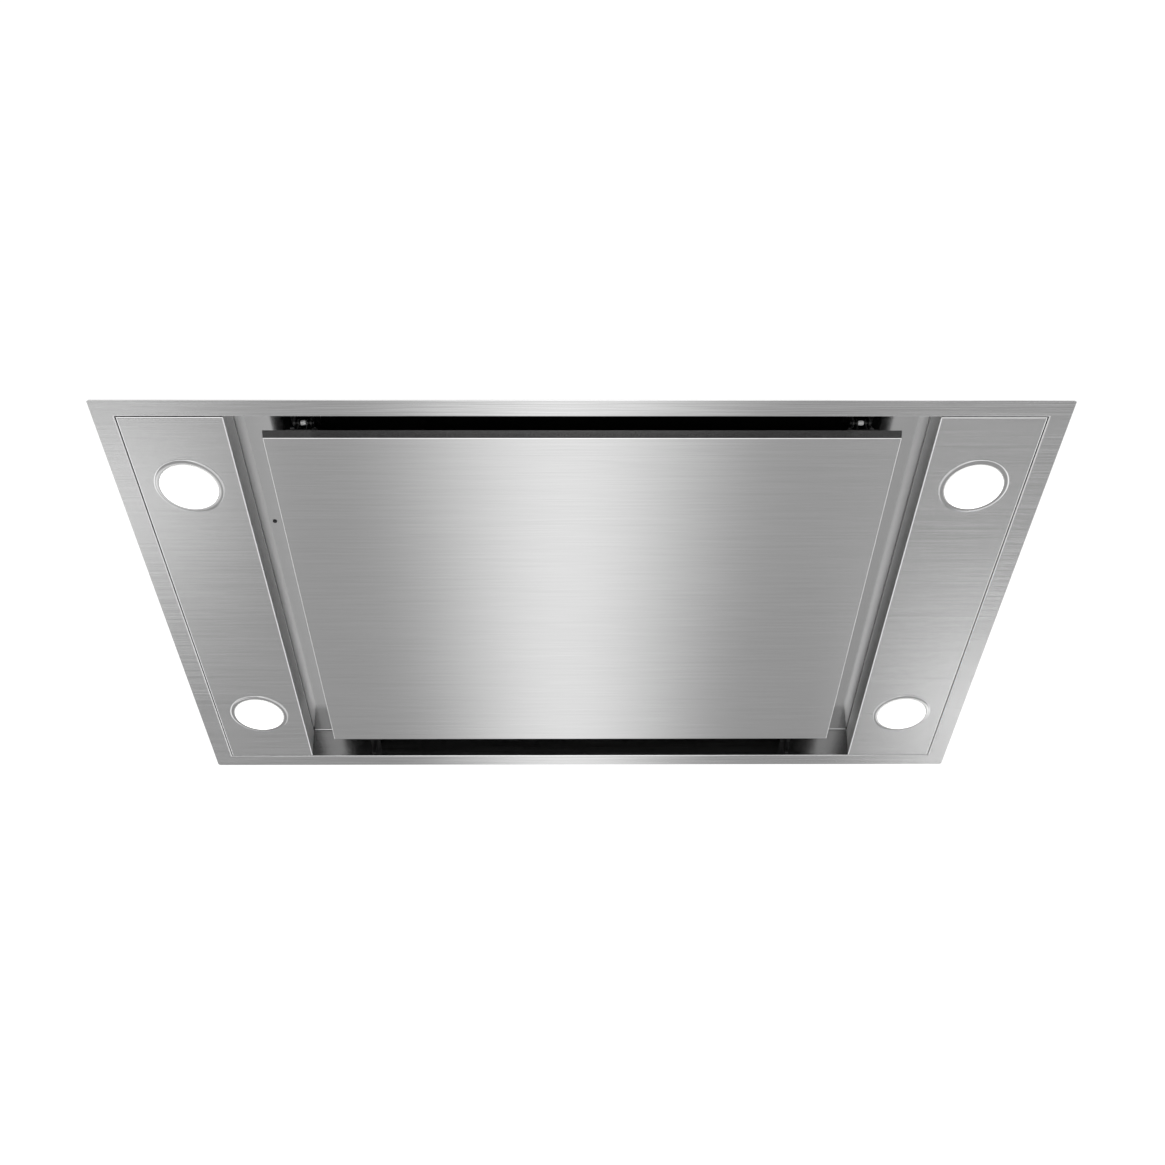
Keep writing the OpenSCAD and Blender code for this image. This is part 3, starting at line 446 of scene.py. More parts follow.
@dataclass(frozen=True)
class Laminate:
    """Solder-masked board with paler copper tracks under the mask."""

    name: str
    colour: Triple

    def build(self) -> bpy.types.Material:
        """Builds the material."""
        graph = Graph(self.name)
        cells = graph.add(
            "TexVoronoi",
            {"feature": "DISTANCE_TO_EDGE", "distance": "EUCLIDEAN"},
            {"Vector": graph.place((260.0, 120.0, 1.0)), "Scale": 1.0},
        )
        track = 1.0 - cells.smooth(0.04, 0.09)
        return graph.finish(
            Base_Color=graph.blend(track, self.colour, scaled(self.colour, 2.2)),
            Roughness=track * 0.1 + 0.3,
            Normal=graph.bump(track, 0.2, 0.05 * MM),
        )


# each sheet gets painted shade on its faces along Y within the recess; the panel's is lighter
# (0.75), the others 0.3
SHEET = BrushedMetal("brushed_panel", streaks=0.07, relief=0.06, painted_end_shade=0.75)
TRIM = BrushedMetal("brushed_trim", streaks=0.2, relief=0.13)
INNER = BrushedMetal("brushed_recess", 0.68, 0.14, 0.5, 0.04, 0.03, dish=0.095)
LAMP_SHEET = BrushedMetal("brushed_lamp_sheet", streaks=0.12, relief=0.12)
CHROME = PolishedMetal("polished_bezel", grey(0.66), 0.16)
PIN = PolishedMetal("ground_pin", grey(0.6), 0.24)
WIRE = PolishedMetal("plated_wire", grey(0.5), 0.29)
LENS = LitLens("frosted_lens", (1.0, 1.0, 0.99))
LAMP_ALLOY = CastMetal("lamp_casting", grey(0.12), 0.45)
SPRING = CastMetal("spring_strip", grey(0.5), 0.3)
WINDOW = Moulded("receiver_gloss", (0.01, 0.01, 0.012), 0.14, relief=0.02)
BACKING = CastMetal("black_coating", grey(0.003), 0.8, 0.0, 900.0, 0.1, 0.08)
ZINC = CastMetal("zinc_plate", (0.5, 0.51, 0.53), 0.34, 1.0, 1100.0, 0.1)
DARK_STEEL = CastMetal("dark_plate", grey(0.06), 0.4, 1.0, 900.0, 0.12)
BLUED = CastMetal("blued_screw", grey(0.3), 0.26, 1.0, 900.0, 0.1)
NYLON = Moulded("white_nylon", (0.93, 0.93, 0.91), 0.3, relief=0.1)
FILTER_ALLOY = BrushedMetal("filter_channel", 0.62, 0.34, 0.3, 0.08, 0.1)
MESH_ALLOY = CastMetal("filter_mesh_wire", grey(0.56), 0.32, 1.0, 1300.0, 0.1)
BLACK_PLASTIC = Moulded("black_moulding", (0.022, 0.022, 0.024))
GALVANISED = Galvanised("galvanised_sheet", (0.56, 0.575, 0.59))
MOTOR_PAINT = CastMetal("motor_enamel", grey(0.05), 0.4, 0.0, 500.0, 0.3)
RUBBER = Moulded("black_rubber", grey(0.02), 0.75, relief=0.5)
GREY_PLASTIC = Moulded("grey_moulding", (0.5, 0.51, 0.5), 0.48)
WHITE_PLASTIC = Moulded("white_moulding", (0.72, 0.72, 0.7), 0.42)
BOARD = Laminate("green_laminate", (0.015, 0.1, 0.04))

DRESSED: dict[str, Finish] = {
    "receiver_window": WINDOW,
    "panel_backing": BACKING,
    "lamp_clips": SPRING,
    "inlet_guard": WIRE,
    "impeller_wheel": MESH_ALLOY,
    "motor_shaft": PIN,
    "motor": MOTOR_PAINT,
    "motor_bracket": ZINC,
    "motor_grommets": RUBBER,
    "scroll_lower": BLACK_PLASTIC,
    "scroll_upper": BLACK_PLASTIC,
    "control_board": BOARD,
    "damper_rod": PIN,
}


@cache
def material_of(finish: Finish) -> bpy.types.Material:
    """The material of a finish, built once."""
    return finish.build()


def slot_of(node: str) -> str:
    """The record's material slot of a CAD node."""
    rows = frame["record"]["subparts"]
    return next(row["material_slot"] for row in rows if row["node"] == node)


def body_of(node: str) -> str:
    """The body that a CAD node rides on."""
    bodies = frame["record"]["behaviour"]["bodies"]
    return next(body for body, nodes in bodies.items() if node in nodes)


def extent(node: str) -> tuple[Vector, Vector]:
    """Lowest and highest corner of a CAD node."""
    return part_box(node)


def middle(node: str) -> Vector:
    """Middle of a CAD node."""
    low, high = extent(node)
    return (low + high) / 2


def corners() -> Iterator[tuple[int, int]]:
    """The signs of the four corners."""
    return product((-1, 1), repeat=2)


# ---- modelling ----


@dataclass(frozen=True)
class Ring:
    """A rounded rectangle in plan: half its width and depth, its height and its corners' radius."""

    half_w: float
    half_d: float
    z: float
    corner: float = 0.4 * MM
    x: float = 0.0

    def grown(self, out: float, rise: float = 0.0, corner: float | None = None) -> "Ring":
        """A ring further out and up, with other corners where they are given."""
        corner = self.corner if corner is None else corner
        return Ring(self.half_w + out, self.half_d + out, self.z + rise, corner, self.x)


def verts_in(made: dict[str, list]) -> list[bmesh.types.BMVert]:
    """The vertices among what an operator made."""
    return [item for item in made["geom"] if isinstance(item, bmesh.types.BMVert)]


class Maker:
    """Gathers shells in one bmesh and turns them into a named piece of the hood."""

    corner_steps = 4

    def __init__(self) -> None:
        self.bm = bmesh.new()

    def count(self) -> int:
        """Number of vertices so far, to tell later which are new."""
        return len(self.bm.verts)

    def since(self, mark: int) -> list[bmesh.types.BMVert]:
        """The vertices made after a mark."""
        self.bm.verts.ensure_lookup_table()
        return self.bm.verts[mark:]

    def move(self, mark: int, matrix: Matrix) -> None:
        """Moves what was made since count() gave the mark."""
        bmesh.ops.transform(self.bm, matrix=matrix, verts=self.since(mark))

    def box(self, low: Iterable[float], high: Iterable[float]) -> None:
        """Adds a block between its lowest and its highest corner."""
        a, b = Vector(low), Vector(high)
        place = Matrix.Translation((a + b) / 2) @ Matrix.Diagonal((*(b - a), 1.0))
        bmesh.ops.create_cube(self.bm, size=1.0, matrix=place)

    def ring(self, ring: Ring) -> Edges:
        """Adds a rounded rectangle as a loop of edges.

        Args:
            ring: The rounded rectangle.

        Returns:
            Its edges.
        """
        faces, edges = set(self.bm.faces), set(self.bm.edges)
        size = Matrix.Diagonal((2 * ring.half_w, 2 * ring.half_d, 1.0, 1.0))
        place = Matrix.Translation((ring.x, 0.0, ring.z)) @ size
        made = bmesh.ops.create_grid(self.bm, x_segments=1, y_segments=1, size=0.5, matrix=place)
        bmesh.ops.bevel(
            self.bm,
            geom=made["verts"],
            offset=ring.corner,
            segments=self.corner_steps,
            profile=0.5,
            affect="VERTICES",
            material=-1,
        )
        fresh = [face for face in self.bm.faces if face not in faces]
        bmesh.ops.delete(self.bm, geom=fresh, context="FACES_ONLY")
        return [edge for edge in self.bm.edges if edge not in edges]

    def circle(self, radius: float, centre: Triple, steps: int = 64) -> Edges:
        """Adds a round loop of edges and gives them."""
        place = Matrix.Translation(centre)
        made = bmesh.ops.create_circle(self.bm, segments=steps, radius=radius, matrix=place)
        return list({edge for vert in made["verts"] for edge in vert.link_edges})

    def stack(self, rings: Sequence[Ring], closed: bool = False, caps: str = "") -> None:
        """Adds a skin through rings.

        Args:
            rings: The rings in order.
            closed: Whether the last joins the first.
            caps: "first", "last" or both words, for the ends that are filled.
        """
        loops = [self.ring(replace(ring, z=float(floor))) for floor, ring in enumerate(rings)]
        for low, high in zip(loops, loops[1:] + (loops[:1] if closed else [])):
            bmesh.ops.bridge_loops(self.bm, edges=low + high)
        for word, loop in (("first", loops[0]), ("last", loops[-1])):
            if word in caps:
                bmesh.ops.edgeloop_fill(self.bm, edges=loop)
        for ring, loop in zip(rings, loops):
            self.level(loop, ring.z)

    def grow(self, border: Edges, ring: Ring) -> Edges:
        """Joins a border to a further ring.

        Args:
            border: The edges so far.
            ring: The next ring.

        Returns:
            The next ring's edges.
        """
        outer = self.ring(replace(ring, z=ring.z + 1.0))
        bmesh.ops.bridge_loops(self.bm, edges=border + outer)
        self.level(outer, ring.z)
        return outer

    def level(self, loop: Edges, z: float) -> None:
        """Brings a loop's vertices to a height."""
        for vert in {vert for edge in loop for vert in edge.verts}:
            vert.co.z = z

    def fill(self, loops: Sequence[Edges]) -> list[bmesh.types.BMFace]:
        """Fills the flat space between loops.

        Args:
            loops: The outer loop and those of its holes.

        Returns:
            The faces.
        """
        edges = [edge for loop in loops for edge in loop]
        made = bmesh.ops.triangle_fill(
            self.bm, use_beauty=True, use_dissolve=False, edges=edges, normal=UP
        )
        return [item for item in made["geom"] if isinstance(item, bmesh.types.BMFace)]

    def draw_out(self, faces: Sequence[bmesh.types.BMFace], step: Vector) -> None:
        """Draws faces out into a solid that keeps them as its base."""
        made = bmesh.ops.extrude_face_region(self.bm, geom=faces, use_keep_orig=True)
        bmesh.ops.translate(self.bm, vec=step, verts=verts_in(made))

    def plate(self, loops: Sequence[Edges], thickness: float) -> None:
        """Adds a plate that rises from its outer loop and those of its holes."""
        self.draw_out(self.fill(loops), UP * thickness)

    def turn(
        self, profile: Sequence[Point2], place: Matrix, steps: int = 48, closed: bool = True
    ) -> list[bmesh.types.BMVert]:
        """Adds a turned shape.

        Args:
            profile: Points of radius and height.
            place: Where its axis and base are.
            steps: Faces in a turn.
            closed: Whether the last point joins the first.

        Returns:
            The new vertices.
        """
        mark = self.count()
        verts = [self.bm.verts.new(place @ Vector((r, 0.0, z))) for r, z in profile]
        pairs = list(zip(verts, verts[1:] + verts[:1]))
        if not closed:
            pairs.pop()
        edges = [self.bm.edges.new(pair) for pair in pairs]
        bmesh.ops.spin(
            self.bm,
            geom=verts + edges,
            cent=place.translation,
            axis=place.to_3x3() @ UP,
            angle=math.tau,
            steps=steps,
            use_merge=True,
        )
        new = self.since(mark)
        bmesh.ops.remove_doubles(self.bm, verts=new, dist=1e-6)
        return self.since(mark)

    def bar(self, outline: Sequence[Point2], place: Matrix, length: float) -> None:
        """Adds a straight bar.

        Args:
            outline: Its section.
            place: Where its section's plane and direction are.
            length: Its length.
        """
        verts = [self.bm.verts.new(place @ Vector((x, y, 0.0))) for x, y in outline]
        self.draw_out([self.bm.faces.new(verts)], place.to_3x3() @ UP * length)

    def screw(self, place: Matrix, radius: float, height: float) -> None:
        """Adds a screw's pan head with a cross recess, and a flange under it.

        Args:
            place: Its axis, with the head's underside at the origin.
            radius: Its radius.
            height: Its height.
        """
        pit = 0.5 * radius
        profile = [
            (0.0, 0.0),
            (radius, 0.0),
            (radius, 0.22 * height),
            (0.86 * radius, 0.3 * height),
            (0.82 * radius, 0.7 * height),
            (0.66 * radius, 0.93 * height),
            (pit, height),
            (0.8 * pit, 0.4 * height),
            (0.0, 0.35 * height),
        ]
        steps = 32
        back = place.inverted()
        for vert in self.turn(profile, place, steps, closed=False):
            local = back @ vert.co
            reach = math.hypot(local.x, local.y)
            if 0.0 < reach <= pit * 1.01 and local.z > 0.1 * height:
                angle = math.atan2(local.y, local.x)
                share = 0.3 + 0.7 * abs(math.cos(2 * angle)) ** 5
                vert.co = place @ Vector((local.x * share, local.y * share, local.z))

    def shade(self, limit: float) -> None:
        """Makes every face smooth, with sharp edges from an angle in degrees."""
        for face in self.bm.faces:
            face.smooth = True
        for edge in self.bm.edges:
            if edge.is_boundary or edge.calc_face_angle(0.0) > math.radians(limit):
                edge.smooth = False

    def piece(
        self,
        name: str,
        node: str,
        finish: Finish,
        bevel: float = 0.0,
        thickness: float = 0.0,
        sharp: float = 38.0,
    ) -> None:
        """Turns what was gathered into a piece that stands for a CAD node.

        Args:
            name: The piece's name.
            node: The CAD node, whose body it takes.
            finish: Its finish.
            bevel: Width of the softened edges.
            thickness: Wall that an open sheet, seen from below, gets behind it.
            sharp: Angle in degrees from which an edge stays sharp.
        """
        bm = self.bm
        bmesh.ops.recalc_face_normals(bm, faces=bm.faces)
        if thickness and min(bm.faces, key=lambda face: face.calc_center_median().z).normal.z > 0:
            bmesh.ops.reverse_faces(bm, faces=bm.faces)
        self.shade(sharp)
        mesh = bpy.data.meshes.new(name)
        bm.to_mesh(mesh)
        bm.free()
        mesh.materials.append(material_of(finish))
        made = bpy.data.objects.new(name, mesh)
        bpy.context.scene.collection.objects.link(made)
        if thickness:
            wall = made.modifiers.new("wall", "SOLIDIFY")
            wall.thickness, wall.offset, wall.use_even_offset = thickness, -1.0, True
        if bevel:
            soft = made.modifiers.new("soft", "BEVEL")
            soft.width, soft.segments, soft.limit_method = bevel, 2, "ANGLE"
            soft.angle_limit = math.radians(sharp)
        weigh = made.modifiers.new("weigh", "WEIGHTED_NORMAL")
        weigh.keep_sharp = not bevel
        slot_of(node)
        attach(made, body_of(node))
        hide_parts(node)
        log.info("%s rides on %s", name, body_of(node))


def at(x: float, y: float, z: float, axis: Triple = (0.0, 0.0, 1.0)) -> Matrix:
    """The place at a point whose Z axis points along an axis."""
    turn = UP.rotation_difference(Vector(axis)).to_matrix().to_4x4()
    return Matrix.Translation((x, y, z)) @ turn


def arc(centre: Point2, radius: float, start: float, end: float, steps: int = 4) -> list[Point2]:
    """Points of an arc from one angle in degrees to another, in a number of steps."""
    angles = [math.radians(start + (end - start) * k / steps) for k in range(steps + 1)]
    return [(centre[0] + radius * math.cos(a), centre[1] + radius * math.sin(a)) for a in angles]


def fold(radius: float) -> list[Point2]:
    """Points of a quarter bend after its first, each as how far out and how far up.

    Its three flats lie at 16, 50 and 79 degrees, which catch the light as a pressed edge does.
    """
    turns = [math.radians(angle) for angle in FOLD_TURNS]
    return [(radius * math.sin(a), radius * (1.0 - math.cos(a))) for a in turns]


def in_mm(points: Iterable[Point2], stretch: float = 1.0) -> list[Point2]:
    """Points given in millimetres, with their second part stretched."""
    return [(a * MM, b * MM * stretch) for a, b in points]


def softened(node: str, finish: Finish, width: float, extra: "Maker | None" = None) -> None:
    """Replaces a CAD node by a merged copy of it with softened edges.

    Args:
        node: The CAD node.
        finish: The copy's finish.
        width: Width of its softened edges.
        extra: More shells of the same piece.
    """
    maker = extra or Maker()
    mark = maker.count()
    maker.bm.from_mesh(frame["nodes"][node].data)
    bmesh.ops.remove_doubles(maker.bm, verts=maker.since(mark), dist=2e-6)
    bmesh.ops.dissolve_limit(
        maker.bm, angle_limit=math.radians(0.6), verts=maker.bm.verts, edges=maker.bm.edges
    )
    maker.piece("soft_" + node, node, finish, bevel=width)


# ---- visible steel ----


@dataclass(frozen=True)
class TrimFrame:
    """The flat rim and the upstand that lines the recess."""

    sheet: float = 1.2 * MM
    fold_r: float = 1.3 * MM
    edge_r: float = 0.5 * MM
    edge_in: float = 0.1 * MM
    corner: float = 3.0 * MM
    rim_w: float = 20.6 * MM
    rim_d: float = 19.0 * MM

    def build(self) -> None:
        """Builds the rim as one closed skin."""
        low, high = extent("trim_frame")
        tall, bend, edge = high.z - low.z, self.fold_r, self.edge_r
        inner = Ring(high.x - self.rim_w, high.y - self.rim_d, low.z)
        rim = Ring(high.x - edge, high.y - edge, low.z, self.corner)
        rings = [inner.grown(bend), *(inner.grown(bend - out, rise) for out, rise in fold(bend))]
        rings += [inner.grown(0.0, tall), inner.grown(self.sheet, tall)]
        rings += [inner.grown(self.sheet, self.sheet), rim.grown(edge - self.edge_in, self.sheet)]
        rings += [*(rim.grown(out, rise) for out, rise in reversed(fold(edge))), rim]
        maker = Maker()
        maker.stack(rings, closed=True)
        maker.piece("rim_and_upstand", "trim_frame", TRIM, sharp=FOLD_SHARP)


@dataclass(frozen=True)
class LampPanel:
    """Folded sheet with two lamp holes, short outer folds and a leaning inner wall."""

    side: str
    sheet: float = 1.2 * MM
    fold_r: float = 1.1 * MM
    corner: float = 0.2 * MM
    fold_corner: float = 0.3 * MM
    crest_r: float = 2.0 * MM
    seam: float = 1.1 * MM
    fold_h: float = 12.0 * MM
    lean: float = 4.0 * MM
    lip: float = 14.0 * MM
    hole_r: float = 29.8 * MM
    grow_out: float = 1.0 * MM

    def build(self) -> None:
        """Builds the sheet as an open skin that gets its thickness behind."""
        node = "lamp_panel_" + self.side
        low, high = extent(node)
        sign, bend = SIDES[self.side], self.fold_r
        x = (low.x + high.x + sign * self.grow_out) / 2
        w, d = (high.x - low.x + self.grow_out) / 2, high.y + self.grow_out
        maker = Maker()
        face = Ring(w - bend, d - bend, low.z, self.corner, x)
        border = maker.ring(face)
        bezels = [middle(f"lamp_bezel_{self.side}_{end}") for end in ENDS]
        holes = [maker.circle(self.hole_r, (bezel.x, bezel.y, low.z)) for bezel in bezels]
        maker.fill([border, *holes])
        for edge in border:
            edge.smooth = False
        for out, rise in fold(bend):
            border = maker.grow(border, face.grown(out, rise, self.fold_corner))
        shift = self.lean * self.fold_h / (high.z - low.z)
        foot = Ring(w - shift / 2, d, low.z + self.fold_h, self.fold_corner, x + sign * shift / 2)
        self.raise_wall(maker, maker.grow(border, foot), sign, high.z - self.seam)
        maker.piece("folded_" + node, node, LAMP_SHEET, thickness=self.sheet, sharp=FOLD_SHARP)

    def raise_wall(self, maker: Maker, border: Edges, sign: int, top: float) -> None:
        """Draws the inner side of the border up to the recess ceiling and out in a lip.

        Args:
            maker: The piece's maker.
            border: The border's edges.
            sign: The side of the hood.
            top: Height of the wall.
        """
        inner = min(sign * vert.co.x for edge in border for vert in edge.verts)
        near = inner + NEAR
        edges = [edge for edge in border if all(sign * vert.co.x < near for vert in edge.verts)]
        rise = top - edges[0].verts[0].co.z
        lean = self.lean * rise / (rise + self.fold_h)
        crest = self.crest_r
        steps = [(lean * (1.0 - crest / rise), rise - crest)]
        steps += [(crest * 0.29, crest * 0.71), (crest * 0.71, crest * 0.29), (self.lip, 0.0)]
        for out, up in steps:
            made = bmesh.ops.extrude_edge_only(maker.bm, edges=edges)
            edges = [item for item in made["geom"] if isinstance(item, bmesh.types.BMEdge)]
            bmesh.ops.translate(maker.bm, vec=Vector((sign * out, 0.0, up)), verts=verts_in(made))


@dataclass(frozen=True)
class CentrePanel:
    """The drop-down tray of brushed sheet, with a flange turned in at its left and right."""

    sheet: float = 1.0 * MM
    edge: float = 0.9 * MM
    soft: float = 0.2 * MM
    flange: float = 11.0 * MM
    flange_in: float = 0.3 * MM
    lift: float = 0.5 * MM
    spread: float = 1.4 * MM
    flare: float = 2.4 * MM

    def build(self) -> None:
        """Builds the tray, whose left and right sides lean out by the flare."""
        low, high = extent("panel_skin")
        w, d = high.x + self.spread, high.y
        face = Ring(w - self.edge, d - self.edge, low.z)
        top = Ring(w + self.flare, d, high.z)
        rings = [face, *(face.grown(out, rise) for out, rise in fold(self.edge))]
        rings += [top.grown(0.0, -self.soft), top.grown(-self.soft)]
        rings += [top.grown(-self.sheet, 0.0, self.soft)]
        rings += [Ring(w, d, low.z).grown(-self.sheet, self.sheet, self.soft)]
        maker = Maker()
        maker.stack(rings, caps="first last")
        for s in SIDES.values():
            reach = sorted(s * (top.half_w - inset) for inset in (self.flange, self.flange_in))
            foot = (reach[0], -d + self.sheet, high.z - self.soft)
            maker.box(foot, (reach[1], d - self.sheet, high.z + self.lift))
        maker.piece("panel_tray", "panel_skin", SHEET, sharp=FOLD_SHARP)


@dataclass(frozen=True)
class Lamp:
    """One lamp: a turned bezel, a proud lens and the casting behind.

    The lip is the bezel's soft inner edge, in millimetres out from its bore and up.
    """

    side: str
    end: str
    bevel_w: float = 1.9 * MM
    bevel_h: float = 0.8 * MM
    inner_r: float = 28.5 * MM
    tube_r: float = 29.2 * MM
    seat_r: float = 27.0 * MM
    ledge: float = 1.4 * MM
    lens_edge: float = 1.1 * MM
    crown: float = 0.35 * MM
    lip: tuple[Point2, ...] = ((0.0, 0.6), (0.25, 0.2), (0.7, 0.0))
    soft: float = 0.3 * MM
    steps: int = 96

    def build(self) -> None:
        """Builds the bezel and the lens."""
        key = f"{self.side}_{self.end}"
        low, high = extent("lamp_bezel_" + key)
        mid, outer = middle("lamp_bezel_" + key), (high.x - low.x) / 2
        face = extent("lamp_panel_" + self.side)[0].z
        under, top, inner = low.z - face, high.z - face, self.inner_r
        profile = [
            (inner, top - self.ledge),
            *((inner + out, under + up) for out, up in in_mm(self.lip)),
            (outer - self.bevel_w, under),
            (outer - 0.2 * self.bevel_w, under + 0.55 * self.bevel_h),
            (outer, under + self.bevel_h),
            (outer, 0.0),
            (self.tube_r, 0.0),
            (self.tube_r, top),
            (self.seat_r, top),
            (self.seat_r, top - self.ledge),
        ]
        maker = Maker()
        maker.turn(profile, at(mid.x, mid.y, face), self.steps)
        maker.piece("bezel_" + key, "lamp_bezel_" + key, CHROME, sharp=50.0)
        self.lens(key, mid)
        softened("lamp_body_" + key, LAMP_ALLOY, self.soft)

    def lens(self, key: str, mid: Vector) -> None:
        """Builds the slightly crowned lens.

        Args:
            key: The lamp's side and end.
            mid: The lamp's middle.
        """
        low, high = extent("lamp_lens_" + key)
        radius, edge, crown = (high.x - low.x) / 2, self.lens_edge, self.crown
        profile = [(radius * k / 6, low.z + crown * (k / 6) ** 2) for k in range(6)]
        profile += arc((radius - edge, low.z + edge + crown), edge, 270, 360, 6)
        profile += [(radius, high.z), (0.0, high.z)]
        maker = Maker()
        maker.turn(profile, at(mid.x, mid.y, 0.0), self.steps, closed=False)
        maker.piece("lens_" + key, "lamp_lens_" + key, LENS)


# ---- fittings in the recess ----


@dataclass(frozen=True)
class RecessCeiling:
    """The sheet over the recess, with a rolled hem along its near and far edge."""

    half_w: float = 333.0 * MM
    hem_r: float = 0.8 * MM
    hem_out: float = 0.1 * MM
    hem_drop: float = 0.3 * MM
    soft: float = 0.15 * MM

    def build(self) -> None:
        """Adds the hems to the sheet."""
        low, high = extent("recess_ceiling")
        maker = Maker()
        outline = arc((0.0, 0.0), self.hem_r, 0, 360, 12)[:-1]
        for end in ENDS.values():
            y = end * (high.y - self.hem_r + self.hem_out)
            place = at(-self.half_w, y, low.z - self.hem_drop, (1.0, 0.0, 0.0))
            maker.bar(outline, place, 2 * self.half_w)
        softened("recess_ceiling", INNER, self.soft, maker)


@dataclass(frozen=True)
class PanelFittings:
    """Hinges, catches and screws of the centre panel.

    A barrel is the bushes' share of their solids' size. The shank is drawn in millimetres of
    radius and height over the panel's top.
    """

    screw_r: float = 2.6 * MM
    screw_h: float = 2.2 * MM
    screw_gap: float = 10.0 * MM
    nut_r: float = 3.3 * MM
    nut_h: float = 6.2 * MM
    leaf_t: float = 1.5 * MM
    head_sink: float = 0.1 * MM
    shank: tuple[Point2, ...] = ((0.0, -4.8), (1.2, -4.4), (1.45, -4.0), (1.45, 0.0), (0.0, 0.0))
    barrel: float = 0.83
    bore: float = 1.55 * MM
    soft: float = 0.25 * MM
    pin_soft: float = 0.2 * MM
    cast_soft: float = 0.3 * MM

    def build(self) -> None:
        """Softens the fittings' edges and adds the bushes and the screws."""
        for side in SIDES:
            softened("hinge_bracket_" + side, DARK_STEEL, self.soft)
            softened("hinge_leaf_" + side, DARK_STEEL, self.soft)
            softened("hinge_pin_" + side, DARK_STEEL, self.pin_soft)
            softened("catch_" + side, DARK_STEEL, self.soft)
        self.bushes()
        softened("catch_strikers", ZINC, self.cast_soft)
        self.screws()

    def bushes(self) -> None:
        """Builds the two barrel-shaped bushes on the hinge pins."""
        maker = Maker()
        low, high = extent("hinge_bushes")
        mid, swell = middle("hinge_bushes"), self.barrel * (high.z - low.z) / 2 - self.bore
        turns = [math.radians(12.0 * k) for k in range(16)]
        for side in SIDES:
            centre = middle("hinge_leaf_" + side).x
            half = self.barrel * abs(high.x - abs(centre))
            curve = [
                (self.bore + swell * math.sin(a) ** 0.5, half * (1.0 - math.cos(a))) for a in turns
            ]
            maker.turn(curve, at(centre - half, mid.y, mid.z, (1.0, 0.0, 0.0)), 32)
        maker.piece("bush_barrels", "hinge_bushes", NYLON, sharp=60.0)

    def screws(self) -> None:
        """Builds the screws of the hinge leaves, each on a nut."""
        maker = Maker()
        y, top = middle("panel_screws").y, extent("panel_skin")[1].z + self.leaf_t
        nut = [(0.0, 0.0), (self.nut_r, 0.0), (self.nut_r, self.nut_h), (0.0, self.nut_h)]
        for side, s in product(SIDES, (-1, 1)):
            place = at(middle("hinge_leaf_" + side).x + s * self.screw_gap, y, top)
            maker.turn(nut, place, 6, closed=False)
            head = place @ Matrix.Translation((0.0, 0.0, self.nut_h - self.head_sink))
            maker.screw(head, self.screw_r, self.screw_h)
            maker.turn(in_mm(self.shank), place, 24, closed=False)
        maker.piece("leaf_screws", "panel_screws", BLUED)


@dataclass(frozen=True)
class Filter:
    """One grease filter: channel frame, layers of expanded mesh and a latch."""

    side: str
    pitch: float = 5.2 * MM
    cell: float = 9.0 * MM
    wire: float = 0.9 * MM
    strand_t: float = 1.6 * MM
    wave: float = 0.6 * MM
    lift: float = 0.2 * MM
    pocket_half: float = 22.5 * MM
    pocket_d: float = 35.5 * MM
    ridges: int = 4
    ridge_half: float = 9.0 * MM
    ridge_d: float = 0.5 * MM
    ridge_h: float = 0.7 * MM
    ridge_in: float = 7.1 * MM
    ridge_up: float = 1.2 * MM
    ridge_pitch: float = 1.5 * MM
    soft: float = 0.3 * MM

    def build(self) -> None:
        """Builds the mesh, and softens the frame and the latch."""
        softened("filter_frame_" + self.side, FILTER_ALLOY, self.soft)
        self.latch()
        self.mesh()

    def latch(self) -> None:
        """Adds finger ridges to the grip of the latch."""
        node = "filter_latch_" + self.side
        x, half = middle(node).x, self.ridge_half
        y = extent("filter_frame_" + self.side)[0].y + self.ridge_in
        maker = Maker()
        for k in range(self.ridges):
            z = extent(node)[0].z + self.ridge_up + self.ridge_pitch * k
            maker.box((x - half, y, z), (x + half, y + self.ridge_d, z + self.ridge_h))
        softened(node, BLACK_PLASTIC, self.soft, maker)

    def mesh(self) -> None:
        """Builds two crossed layers of zigzag strands that touch their neighbours."""
        node = "filter_mesh_" + self.side
        low, high = extent(node)
        pocket_end = extent("filter_frame_" + self.side)[0].y + self.pocket_d
        maker = Maker()
        count = int((high.x - low.x) / self.pitch)
        for k, layer in product(range(count), (0, 1)):
            x = low.x + (k + 0.5) * (high.x - low.x) / count
            in_pocket = abs(x - middle(node).x) < self.pocket_half + self.pitch / 2
            z = low.z + layer * (high.z - low.z) / 2 + self.lift
            foot = (x, pocket_end if in_pocket else low.y, z)
            self.strand(maker, foot, high.y, (k + layer) % 2)
        maker.piece("expanded_" + node, node, MESH_ALLOY, sharp=60.0)

    def strand(self, maker: Maker, foot: Triple, end: float, odd: int) -> None:
        """Adds one zigzag strand.

        Args:
            maker: The mesh's maker.
            foot: Where it begins.
            end: Where it ends along Y.
            odd: 1 for a strand that starts the other way.
        """
        x, start, z = foot
        length = end - start
        steps = int(length / (self.cell / 2))
        size = Matrix.Diagonal((self.wire, length, 1.0, 1.0))
        place = Matrix.Translation((x, start + length / 2, z)) @ size
        verts = bmesh.ops.create_grid(
            maker.bm, x_segments=1, y_segments=steps, size=0.5, matrix=place
        )["verts"]
        for vert in verts:
            high = (round((vert.co.y - start) * steps / length) + odd) % 2
            vert.co.x += (self.pitch / 2 - self.wire / 4) * (1 if high else -1)
            vert.co.z += self.wave * high
        faces = list({face for vert in verts for face in vert.link_faces})
        maker.draw_out(faces, UP * self.strand_t)


# ---- above the ceiling ----


